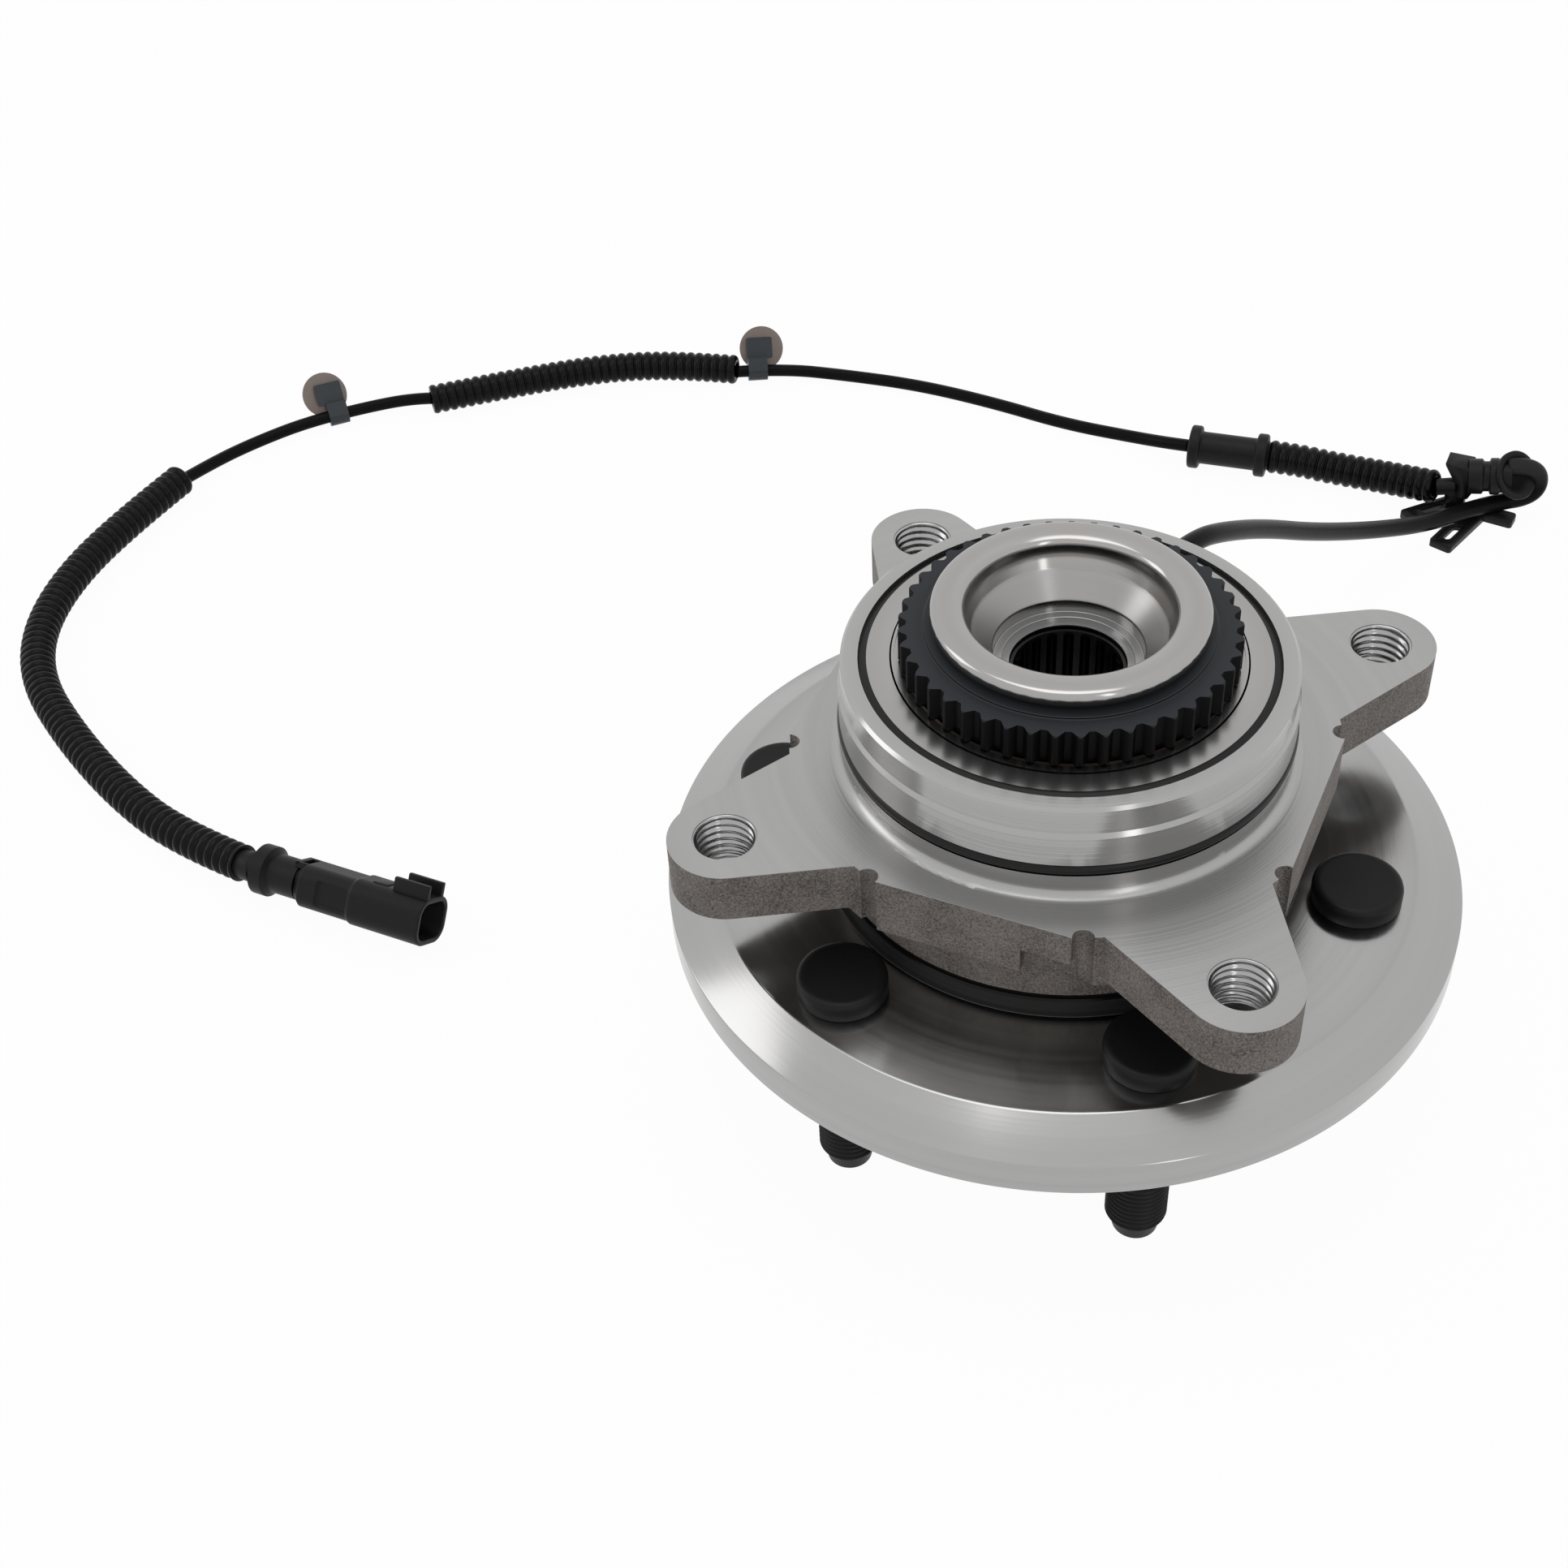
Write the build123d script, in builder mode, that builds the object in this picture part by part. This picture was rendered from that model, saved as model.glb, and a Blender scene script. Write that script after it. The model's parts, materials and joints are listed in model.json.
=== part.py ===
from build123d import *
from math import atan, atan2, cos, degrees, hypot, pi, radians, sin, tan
import os

# Front wheel hub bearing unit of a light truck, with its wheel speed sensor and the sensor's lead.
# Millimetres. The origin is on the wheel's axis, in the plane of the face that the wheel bolts to.
# +Z points inboard, toward the drive shaft and the vehicle. The wheel's side is -Z.

# Wheel flange and pilot
flange_radius = 90.9
flange_rim_height = 8.3
flange_thickness = 13.6
bevel_radius = 80.8
rim_chamfer = 0.5
boss_radius = 53.0
boss_height = 2.8
wheel_pilot_radius = 43.5
wheel_pilot_length = 18.0
wheel_pilot_bore = 37.5
cap_seat_radius = 28.0
cap_seat_depth = 9.0
pilot_floor_height = 5.0

# Wheel studs
stud_circle_radius = 67.5
stud_count = 6
hub_turn = 5.4
stud_radius = 7.0
stud_neck_radius = 7.6
stud_reach = 43.8
stud_point_radius = 5.2
stud_point_length = 4.2
stud_point_chamfer = 0.8
stud_head_radius = 10.0
stud_head_height = 4.8
stud_head_bevel = 0.9

# Knuckle flange of the outer ring, with four threaded ears
ear_circle_radius = 80.0
ear_count = 4
ear_hole_radius = 7.0
ear_lobe_radius = 12.5
ear_taper = 15.5
knuckle_face_height = 44.9
ear_thickness = 12.4
skirt_thickness = 14.5
skirt_apothem = 57.1
skirt_corner_radius = 61.0
root_notch_radius = 2.3
root_notch_angle = 22.2
pocket_side_near = 10.6
pocket_side_far = 22.4
pocket_height = 6.4
pocket_depth = 3.2
barrel_wall = 7.95
housing_outboard_end = 18.8

# Knuckle pilot of the outer ring
pilot_radius = 49.75
pilot_top_height = 61.3
collar_radius = 49.1
collar_start_height = 62.4
barrel_top_height = 68.9
barrel_chamfer = 0.7
ring_groove_low = 51.0
ring_groove_high = 54.0
ring_groove_depth = 2.4
ring_cord_diameter = 2.9
neck_radius = 49.3
neck_top_height = 49.4
neck_fillet_radius = 2.4

# Rolling elements, two rows of tapered rollers set back to back
row_pitch_radius = 36.0
row_angle = 14.5
roller_radius = 3.4
roller_length = 12.0
roller_count = 18
row_outboard_height = 28.5
row_inboard_height = 56.3
race_clearance = 0.04
cage_wall = 1.6
cage_rim = 1.3
cage_pocket_clearance = 0.2
roller_end_clearance = 0.15

# Inner race, spindle and formed nose
spindle_radius = 25.0
shoulder_height = 46.6
race_rib_radius = 35.9
race_lip_radius = 32.3
seal_bore_radius = 45.25
seal_bore_depth = 5.6
outboard_seal_depth = 2.8
nose_radius = 29.75
nose_rise = 4.85
nose_flat_radius = 28.2
nose_inner_radius = 22.4
nose_lip_depth = 6.9
recess_radius = 20.9
cone_depth = 5.1
cone_foot_radius = 16.24
step_depth = 3.1
shaft_bore_radius = 12.0

# Coupling gear: outside spline of 45 teeth at 16 teeth per inch of pitch diameter
gear_teeth = 45
gear_pitch = 25.4 / 16
gear_bottom_height = 68.95
gear_top_height = 77.05
gear_boss_radius = 31.1
gear_boss_rise = 0.5
gear_tooth_turn = 4.6
gear_tip_chamfer = 0.35

# Needle bearing for the stub shaft
needle_cup_radius = 14.2
needle_cup_wall = 0.8
needle_cup_length = 20.0
needle_cup_sink = 1.0
needle_count = 20
needle_radius = 1.1
needle_pitch_radius = 12.2
needle_length = 15.6
needle_cage_wall = 0.7
needle_lip_reach = 0.5

# Wheel speed sensor and its target ring
sensor_height = 37.6
sensor_tip_radius = 4.0
sensor_bore_clearance = 0.1
sensor_tip_gap = 1.1
tone_ring_radius = 37.2
tone_ring_bore = 30.0
tone_ring_width = 5.0
tone_teeth = 40
sensor_plate_thickness = 3.5
sensor_plate_width = 28.0
sensor_plate_height = 13.0
sensor_head_radius = 6.2
sensor_head_end = 70.0
sensor_screw_offset = 10.4
sensor_screw_radius = 2.5
sensor_screw_head = 4.2

# Sensor lead and harness, which lie on the surface that the studs stand on
ground = -stud_reach
lead_diameter = 5.2
cable_diameter = 4.0
short_conduit_diameter = 10.4
mid_conduit_diameter = 9.8
long_conduit_diameter = 10.2
lead_route = [(0, 80, 37.6), (2.8, 91, 36.4), (6.4, 106, 29.4), (11.6, 130.5, 14.8), (19.6, 159, -4.2),
              (30.5, 191.5, -23.2), (43, 217, -35), (57.6, 235.6, -38.2), (70.8, 248.6, -38.2),
              (71.2, 246.6, -28), (62, 242.3, -28)]
short_conduit_route = [(40.7, 237, -35.4), (25.5, 240.8, -38.2), (8, 240.4, -38.5), (-3, 238.7, -37),
                       (-12.2, 237.55, -37)]
cable_route = [(-36.6, 234.5, -37), (-43.5, 235.4, -38.2), (-56, 239, -41.2), (-80, 239.2, -41.7),
               (-106, 242.9, -41.8), (-134, 244.3, -41.8), (-160, 240.8, -41.4), (-180, 235.8, -40.4),
               (-193.8, 227.6, -39.6)]
mid_conduit_route = [(-193.8, 227.6, -38.8), (-214, 223.4, -38.8), (-236, 213.6, -38.8),
                     (-261, 194.8, -38.8), (-283.6, 174.9, -38.8)]
link_route = [(-283.6, 175.9, -38.8), (-291, 174.4, -39.7), (-302.8, 166.2, -40.4),
              (-318, 150.4, -40.4), (-328.4, 135.6, -41.2), (-335, 120.5, -41), (-337.4, 106, -39.6)]
long_conduit_route = [(-337.3, 105.6, -38.7), (-339.6, 80, -38.7), (-339, 50, -38.7),
                      (-331.5, 24, -38.7), (-316.5, 4, -38.7), (-292, -12.2, -38.7), (-264, -26.5, -38.7),
                      (-238, -35.5, -38.7), (-213.4, -38.9, -37)]

# Bracket, grommet, clips and connector on the harness
bracket_block = (42.4, 50.8, 236.6, 244.6, -38.0, -26.5)
bracket_post = (43.0, 49.6, 238.0, 244.0)
bracket_spigot_radius = 2.6
cord_grip = 0.05
bracket_collar_radius = 6.4
bracket_collar_width = 3.0
bracket_neck_radius = 5.2
bracket_leg_thickness = 2.4
bracket_leg_width = 7.2
bracket_leg_corner = 1.0
bracket_short_leg_length = 20.0
bracket_short_leg_middle = (41.6, 234.8)
bracket_short_leg_turn = 47.0
bracket_long_leg_length = 23.0
bracket_long_leg_middle = (50.6, 228.2)
bracket_long_leg_turn = 73.0
bracket_slot_length = 9.0
bracket_slot_width = 2.6
bracket_slot_shift = 4.0
bracket_foot_length = 14.0
bracket_foot_width = 5.4
bracket_foot_middle = (58.5, 238.6)
bracket_foot_turn = -6.0
grommet_radius = 6.8
grommet_body_radius = 5.1
grommet_flange = 3.6
clip_disc_radius = 7.4
clip_disc_thickness = 1.2
clip_disc_offset = 7.4
clip_band_width = 6.5
clip_band_thickness = 1.2
clip_hole_clearance = 0.1
clip_head_width = 8.6
clip_head_length = 7.2
clip_head_height = 4.6
clip_stem_radius = 2.5
clip_stem_length = 8.8
shell_axis_y = -39.1
shell_rear = -194.0
shell_step = -176.0
shell_mouth = -154.4
shell_turn = 35.0
shell_rear_chamfer = 2.2
shell_width = 14.6
shell_height = 12.6
shell_wall = 1.4
shell_corner = 4.6
shell_cavity = 18.0
shell_step_size = 0.5
rail_height = 3.6
rail_length = 9.5
rail_thickness = 1.2
rail_gap = 7.0
boot_radius = 6.8
boot_neck_radius = 5.3
boot_stub_radius = 4.0

os.makedirs("parts", exist_ok=True)


def save(part, name):
    """Label one finished piece and write it."""
    part.label = name
    export_step(part, "parts/" + name + ".step")


def ring_about_z(points, name):
    """Turn a closed outline of (radius, height) points about the axis and save it."""
    with BuildPart() as ring:
        with BuildSketch(Plane.XZ):
            with BuildLine():
                Polyline(*points, close=True)
            make_face()
        revolve(axis=Axis.Z)
    save(ring.part, name)
    return ring.part


# Roller geometry. Each row's cones share an apex on the axis.
apex_distance = row_pitch_radius / tan(radians(row_angle))
roller_half_angle = degrees(atan(roller_radius * sin(radians(row_angle)) / row_pitch_radius))
half_row = roller_length / 2 * cos(radians(row_angle))
outer_slope = tan(radians(row_angle + roller_half_angle))
inboard_apex = row_inboard_height - apex_distance
outboard_apex = row_outboard_height + apex_distance


def outer_race(distance):
    """Radius of the outer raceway at a distance from the row's apex."""
    return distance * outer_slope + race_clearance


def along_row(along, across):
    """(radius, distance from the apex) of a point along a roller's axis and out from it."""
    return (along * sin(radians(row_angle)) + across * cos(radians(row_angle)),
            along * cos(radians(row_angle)) - across * sin(radians(row_angle)))


def inner_seat(along, shoulder):
    """Raceway and shoulder points of the inner race, square to the rollers at one end."""
    raceway = -along * tan(radians(roller_half_angle)) - race_clearance
    rise = (shoulder - along * sin(radians(row_angle))) / cos(radians(row_angle))
    return along_row(along, raceway), along_row(along, rise)


roller_middle = apex_distance / cos(radians(row_angle))
small_end = apex_distance - half_row - roller_end_clearance
land_radius = outer_race(small_end)
lip_foot, lip_top = inner_seat(roller_middle - roller_length / 2 - roller_end_clearance, race_lip_radius)
rib_foot, rib_top = inner_seat(roller_middle + roller_length / 2 + roller_end_clearance, race_rib_radius)

# Outer ring: the turned body
lower_barrel_radius = seal_bore_radius + barrel_wall
neck_center = knuckle_face_height + neck_fillet_radius
groove_radius = pilot_radius - ring_groove_depth
outboard_bore_floor = housing_outboard_end + outboard_seal_depth
inboard_bore_floor = barrel_top_height - seal_bore_depth
with BuildPart() as outer_ring:
    with BuildSketch(Plane.XZ):
        with BuildLine():
            Polyline((land_radius, outboard_apex - small_end),
                     (outer_race(outboard_apex - outboard_bore_floor), outboard_bore_floor),
                     (seal_bore_radius, outboard_bore_floor),
                     (seal_bore_radius, housing_outboard_end),
                     (lower_barrel_radius, housing_outboard_end),
                     (lower_barrel_radius, knuckle_face_height),
                     (neck_radius + neck_fillet_radius, knuckle_face_height))
            RadiusArc((neck_radius + neck_fillet_radius, knuckle_face_height), (neck_radius, neck_center),
                      neck_fillet_radius)
            Polyline((neck_radius, neck_center), (neck_radius, neck_top_height - 0.3),
                     (pilot_radius, neck_top_height),
                     (pilot_radius, ring_groove_low), (groove_radius, ring_groove_low),
                     (groove_radius, ring_groove_high), (pilot_radius, ring_groove_high),
                     (pilot_radius, pilot_top_height), (collar_radius, collar_start_height),
                     (collar_radius, barrel_top_height - barrel_chamfer),
                     (collar_radius - barrel_chamfer, barrel_top_height),
                     (seal_bore_radius, barrel_top_height),
                     (seal_bore_radius, inboard_bore_floor),
                     (outer_race(inboard_bore_floor - inboard_apex), inboard_bore_floor),
                     (land_radius, inboard_apex + small_end),
                     (land_radius, outboard_apex - small_end))
        make_face()
    revolve(axis=Axis.Z)

    # The skirt between the ears: a square with its corners turned off, notched beside each ear
    with BuildSketch(Plane.XY.offset(knuckle_face_height - skirt_thickness)) as skirt:
        Circle(skirt_corner_radius)
        Rectangle(2 * skirt_apothem, 2 * skirt_apothem, mode=Mode.INTERSECT)
        Circle(lower_barrel_radius - 2, mode=Mode.SUBTRACT)
    extrude(amount=skirt_thickness)

    # Four tapered ears
    ear_angles = [45 + 360 / ear_count * i for i in range(ear_count)]
    lobe_contact = radians(90 - ear_taper)
    with BuildSketch(Plane.XY.offset(knuckle_face_height - ear_thickness)) as ears:
        for angle in ear_angles:
            with Locations(Rot(0, 0, angle)):
                root = lower_barrel_radius - 1
                contact_x = ear_circle_radius + ear_lobe_radius * cos(lobe_contact)
                contact_y = ear_lobe_radius * sin(lobe_contact)
                root_y = contact_y + (contact_x - root) * tan(radians(ear_taper))
                Polygon((root, -root_y), (contact_x, -contact_y), (contact_x, contact_y), (root, root_y),
                        align=None)
            with PolarLocations(ear_circle_radius, 1, start_angle=angle):
                Circle(ear_lobe_radius)
        Circle(lower_barrel_radius - 2, mode=Mode.SUBTRACT)
    extrude(amount=ear_thickness)

    # A rounded notch on each side of each ear's root
    with BuildSketch(Plane.XY.offset(knuckle_face_height - skirt_thickness)) as notches:
        for angle in ear_angles:
            for side in (-1, 1):
                with PolarLocations(skirt_corner_radius, 1, start_angle=angle + side * root_notch_angle):
                    Circle(root_notch_radius)
    extrude(amount=skirt_thickness, mode=Mode.SUBTRACT)

    # A cast pocket in the skirt's lower edge
    with BuildSketch(Plane.XY.offset(knuckle_face_height - skirt_thickness)) as pocket:
        with Locations(((pocket_side_near + pocket_side_far) / 2, -skirt_apothem)):
            RectangleRounded(pocket_side_far - pocket_side_near, 2 * pocket_depth, 1.2)
    extrude(amount=pocket_height, mode=Mode.SUBTRACT)

    # Ear holes at the thread's full diameter
    with BuildSketch(Plane.XY.offset(knuckle_face_height)):
        with PolarLocations(ear_circle_radius, ear_count, start_angle=45):
            Circle(ear_hole_radius)
    extrude(amount=-ear_thickness, mode=Mode.SUBTRACT)

    # Sensor bore through the skirt, along +Y
    with BuildSketch(Plane.XZ.offset(-skirt_apothem - 1)):
        with Locations((0, sensor_height)):
            Circle(sensor_tip_radius + sensor_bore_clearance)
    extrude(amount=skirt_apothem + 1 - tone_ring_radius, mode=Mode.SUBTRACT)
    # Threaded hole for the sensor's screw
    with BuildSketch(Plane.XZ.offset(-skirt_apothem)):
        with Locations((-sensor_screw_offset, sensor_height)):
            Circle(sensor_screw_radius)
    extrude(amount=10, mode=Mode.SUBTRACT)
save(outer_ring.part, "outer_ring")

# Sealing ring in the pilot's groove
with BuildPart() as pilot_o_ring:
    with BuildSketch(Plane.XZ):
        with Locations((groove_radius + ring_cord_diameter / 2, (ring_groove_low + ring_groove_high) / 2)):
            RegularPolygon(ring_cord_diameter / 2, 12, rotation=15)
    revolve(axis=Axis.Z)
save(pilot_o_ring.part, "pilot_o_ring")

# Inner race, pressed on the spindle
with BuildPart() as inner_race_ring:
    with BuildSketch(Plane.XZ):
        with BuildLine():
            Polyline((spindle_radius, shoulder_height), (race_lip_radius, shoulder_height),
                     (race_lip_radius, inboard_apex + lip_top[1]),
                     (lip_foot[0], inboard_apex + lip_foot[1]),
                     (rib_foot[0], inboard_apex + rib_foot[1]),
                     (race_rib_radius, inboard_apex + rib_top[1]),
                     (race_rib_radius, gear_bottom_height - 0.5),
                     (race_rib_radius - 0.5, gear_bottom_height),
                     (spindle_radius, gear_bottom_height), close=True)
        make_face()
    revolve(axis=Axis.Z)
save(inner_race_ring.part, "inner_race")

# Wheel hub: flange, pilot, outboard raceway, spindle and the nose that is rolled over the gear
boss_face = flange_thickness + boss_height
gear_boss_top = gear_top_height + gear_boss_rise
nose_height = gear_boss_top + nose_rise
recess_floor = nose_height - nose_lip_depth
cone_foot = recess_floor - cone_depth
step_floor = cone_foot - step_depth
nose_bulge = nose_radius - nose_flat_radius
tone_seat_low = outboard_apex - lip_foot[1] + 1.6
needle_seat = step_floor - needle_cup_sink - needle_cup_length
with BuildPart() as wheel_hub:
    with BuildSketch(Plane.XZ):
        with BuildLine():
            Polyline((shaft_bore_radius, pilot_floor_height), (cap_seat_radius, pilot_floor_height),
                     (cap_seat_radius, pilot_floor_height - cap_seat_depth),
                     (wheel_pilot_bore, pilot_floor_height - cap_seat_depth - 2),
                     (wheel_pilot_bore, -wheel_pilot_length + 1),
                     (wheel_pilot_bore + 1, -wheel_pilot_length),
                     (wheel_pilot_radius - 1.5, -wheel_pilot_length),
                     (wheel_pilot_radius, -wheel_pilot_length + 3),
                     (wheel_pilot_radius, 0), (flange_radius - rim_chamfer, 0),
                     (flange_radius, rim_chamfer), (flange_radius, flange_rim_height),
                     (bevel_radius, flange_thickness), (boss_radius + boss_height, flange_thickness),
                     (boss_radius, boss_face), (race_rib_radius + 1.5, boss_face),
                     (race_rib_radius, boss_face + 1.5),
                     (race_rib_radius, outboard_apex - rib_top[1]),
                     (rib_foot[0], outboard_apex - rib_foot[1]),
                     (lip_foot[0], outboard_apex - lip_foot[1]),
                     (race_lip_radius, outboard_apex - lip_top[1]),
                     (race_lip_radius, tone_seat_low),
                     (tone_ring_bore, tone_seat_low), (tone_ring_bore, shoulder_height),
                     (spindle_radius, shoulder_height), (spindle_radius, gear_boss_top),
                     (nose_flat_radius - 0.7, gear_boss_top),
                     (nose_radius - 0.85, gear_boss_top + nose_rise * 0.15),
                     (nose_radius, nose_height - nose_bulge * 1.1))
            RadiusArc((nose_radius, nose_height - nose_bulge * 1.1), (nose_flat_radius, nose_height),
                      -nose_bulge * 1.05)
            Polyline((nose_flat_radius, nose_height), (nose_inner_radius + 0.6, nose_height),
                     (nose_inner_radius, nose_height - 0.6),
                     (nose_inner_radius, nose_height - nose_lip_depth * 0.55),
                     (recess_radius, recess_floor), (cone_foot_radius, cone_foot),
                     (cone_foot_radius, step_floor), (needle_cup_radius, step_floor),
                     (needle_cup_radius, needle_seat), (shaft_bore_radius, needle_seat),
                     (shaft_bore_radius, pilot_floor_height))
        make_face()
    revolve(axis=Axis.Z)
    with BuildSketch(Plane.XY):
        with PolarLocations(stud_circle_radius, stud_count, start_angle=hub_turn):
            Circle(stud_neck_radius)
    extrude(amount=flange_thickness, mode=Mode.SUBTRACT)
save(wheel_hub.part, "wheel_hub")

# Six wheel studs, pressed in from the inboard side
head_top = flange_thickness + stud_head_height
point_start = -stud_reach + stud_point_length
thread_end = point_start + (stud_radius - stud_point_radius)
for number in range(stud_count):
    turn = radians(hub_turn + 360 / stud_count * number)
    seat = (stud_circle_radius * cos(turn), stud_circle_radius * sin(turn), 0)
    with BuildPart() as stud:
        with BuildSketch(Plane(seat, x_dir=(1, 0, 0), z_dir=(0, -1, 0))):
            with BuildLine():
                Polyline((0, -stud_reach), (stud_point_radius - stud_point_chamfer, -stud_reach),
                         (stud_point_radius, -stud_reach + stud_point_chamfer),
                         (stud_point_radius, point_start), (stud_radius, thread_end),
                         (stud_radius, 0), (stud_neck_radius, 0),
                         (stud_neck_radius, flange_thickness), (stud_head_radius, flange_thickness),
                         (stud_head_radius, head_top - stud_head_bevel),
                         (stud_head_radius - stud_head_bevel, head_top), (0, head_top), (0, -stud_reach))
            make_face()
        revolve(axis=Axis(seat, (0, 0, 1)))
    save(stud.part, "wheel_stud_%d" % (number + 1))

# Coupling gear, an outside spline that the locking sleeve slides over
gear_pitch_radius = gear_teeth * gear_pitch / 2
gear_tip_radius = gear_pitch_radius + gear_pitch / 2
gear_root_radius = gear_pitch_radius - 0.6 * gear_pitch
tooth_pitch = 360 / gear_teeth
with BuildPart() as coupling_gear:
    with BuildSketch(Plane.XY.offset(gear_bottom_height)):
        Circle(gear_tip_radius)
    extrude(amount=gear_top_height - gear_bottom_height)
    chamfer(coupling_gear.edges().filter_by(GeomType.CIRCLE), gear_tip_chamfer)
    with BuildSketch(Plane.XY.offset(gear_top_height)):
        Circle(gear_boss_radius)
    extrude(amount=gear_boss_rise)
    with BuildSketch(Plane.XY.offset(gear_bottom_height)) as gaps:
        with PolarLocations(0, gear_teeth, start_angle=gear_tooth_turn + tooth_pitch / 2):
            root_half = radians(tooth_pitch * 0.14)
            mid_half = radians(tooth_pitch * 0.29)
            tip_half = radians(tooth_pitch * 0.48)
            over = gear_tip_radius + 0.4
            Polygon((gear_root_radius * cos(root_half), -gear_root_radius * sin(root_half)),
                    (gear_pitch_radius * cos(mid_half), -gear_pitch_radius * sin(mid_half)),
                    (over * cos(tip_half), -over * sin(tip_half)),
                    (over * cos(tip_half), over * sin(tip_half)),
                    (gear_pitch_radius * cos(mid_half), gear_pitch_radius * sin(mid_half)),
                    (gear_root_radius * cos(root_half), gear_root_radius * sin(root_half)), align=None)
    extrude(amount=gear_top_height - gear_bottom_height, mode=Mode.SUBTRACT)
    with BuildSketch(Plane.XY.offset(gear_bottom_height)):
        Circle(spindle_radius)
    extrude(amount=gear_top_height - gear_bottom_height + gear_boss_rise, mode=Mode.SUBTRACT)
save(coupling_gear.part, "coupling_gear")

# Seals. The inboard seal is a case in the bore and a slinger on the inner race.
case_radius = seal_bore_radius - 1.85
slinger_rim = 38.0
case_inner = 38.4
seal_face = barrel_top_height - 0.1
ring_about_z([(case_radius - 0.8, inboard_bore_floor + 0.6), (case_radius, inboard_bore_floor + 0.6),
              (case_radius, seal_face), (case_inner, seal_face), (case_inner, seal_face - 0.8),
              (case_radius - 0.8, seal_face - 0.8)], "inboard_seal_case")
with BuildPart() as inboard_seal_rubber:
    with BuildSketch(Plane.XZ):
        with BuildLine():
            Polyline((case_radius, inboard_bore_floor + 0.6), (seal_bore_radius, inboard_bore_floor + 0.6),
                     (seal_bore_radius, seal_face - 0.7), (case_radius, seal_face - 0.3),
                     (case_radius, inboard_bore_floor + 0.6))
        make_face()
    revolve(axis=Axis.Z)
save(inboard_seal_rubber.part, "inboard_seal_rubber")
ring_about_z([(case_radius - 0.8, seal_face - 0.8), (case_inner, seal_face - 0.8),
              (race_rib_radius + 1.1, seal_face - 3.4), (race_rib_radius + 1.1, seal_face - 4.2),
              (case_radius - 0.8, seal_face - 2.6)], "inboard_seal_lip")
ring_about_z([(race_rib_radius, inboard_bore_floor + 0.2), (race_rib_radius + 0.8, inboard_bore_floor + 0.2),
              (race_rib_radius + 0.8, seal_face - 0.6), (slinger_rim, seal_face - 0.6),
              (slinger_rim, seal_face + 0.2), (slinger_rim - 0.6, seal_face + 0.2),
              (slinger_rim - 0.6, seal_face - 0.1), (race_rib_radius, seal_face - 0.1)], "inboard_slinger")

# The outboard seal covers the end of the outer ring and runs on the flange's boss
cover_face = housing_outboard_end - 0.8
ring_about_z([(seal_bore_radius - 0.8, cover_face), (lower_barrel_radius, cover_face),
              (lower_barrel_radius, housing_outboard_end), (seal_bore_radius, housing_outboard_end),
              (seal_bore_radius, outboard_bore_floor - 0.2),
              (seal_bore_radius - 0.8, outboard_bore_floor - 0.2)], "outboard_seal_case")
lip_clearance = 0.3
ring_about_z([(race_rib_radius + lip_clearance, cover_face + 1.6),
              (race_rib_radius + lip_clearance, cover_face + 0.8),
              (seal_bore_radius - 1.2, cover_face - 0.8), (lower_barrel_radius + 0.4, cover_face - 0.8),
              (lower_barrel_radius + 0.4, cover_face), (seal_bore_radius - 0.8, cover_face),
              (seal_bore_radius - 0.8, cover_face + 1.6)], "outboard_seal_rubber")

# Target ring between the rows, read by the sensor
tone_low = tone_seat_low + 1.2
with BuildPart() as tone_ring:
    with BuildSketch(Plane.XY.offset(tone_low)):
        Circle(tone_ring_radius)
        with PolarLocations(tone_ring_radius, tone_teeth, start_angle=hub_turn):
            Rectangle(3.0, 2.6, mode=Mode.SUBTRACT)
        Circle(tone_ring_bore, mode=Mode.SUBTRACT)
    extrude(amount=tone_ring_width)
save(tone_ring.part, "tone_ring")


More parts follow.
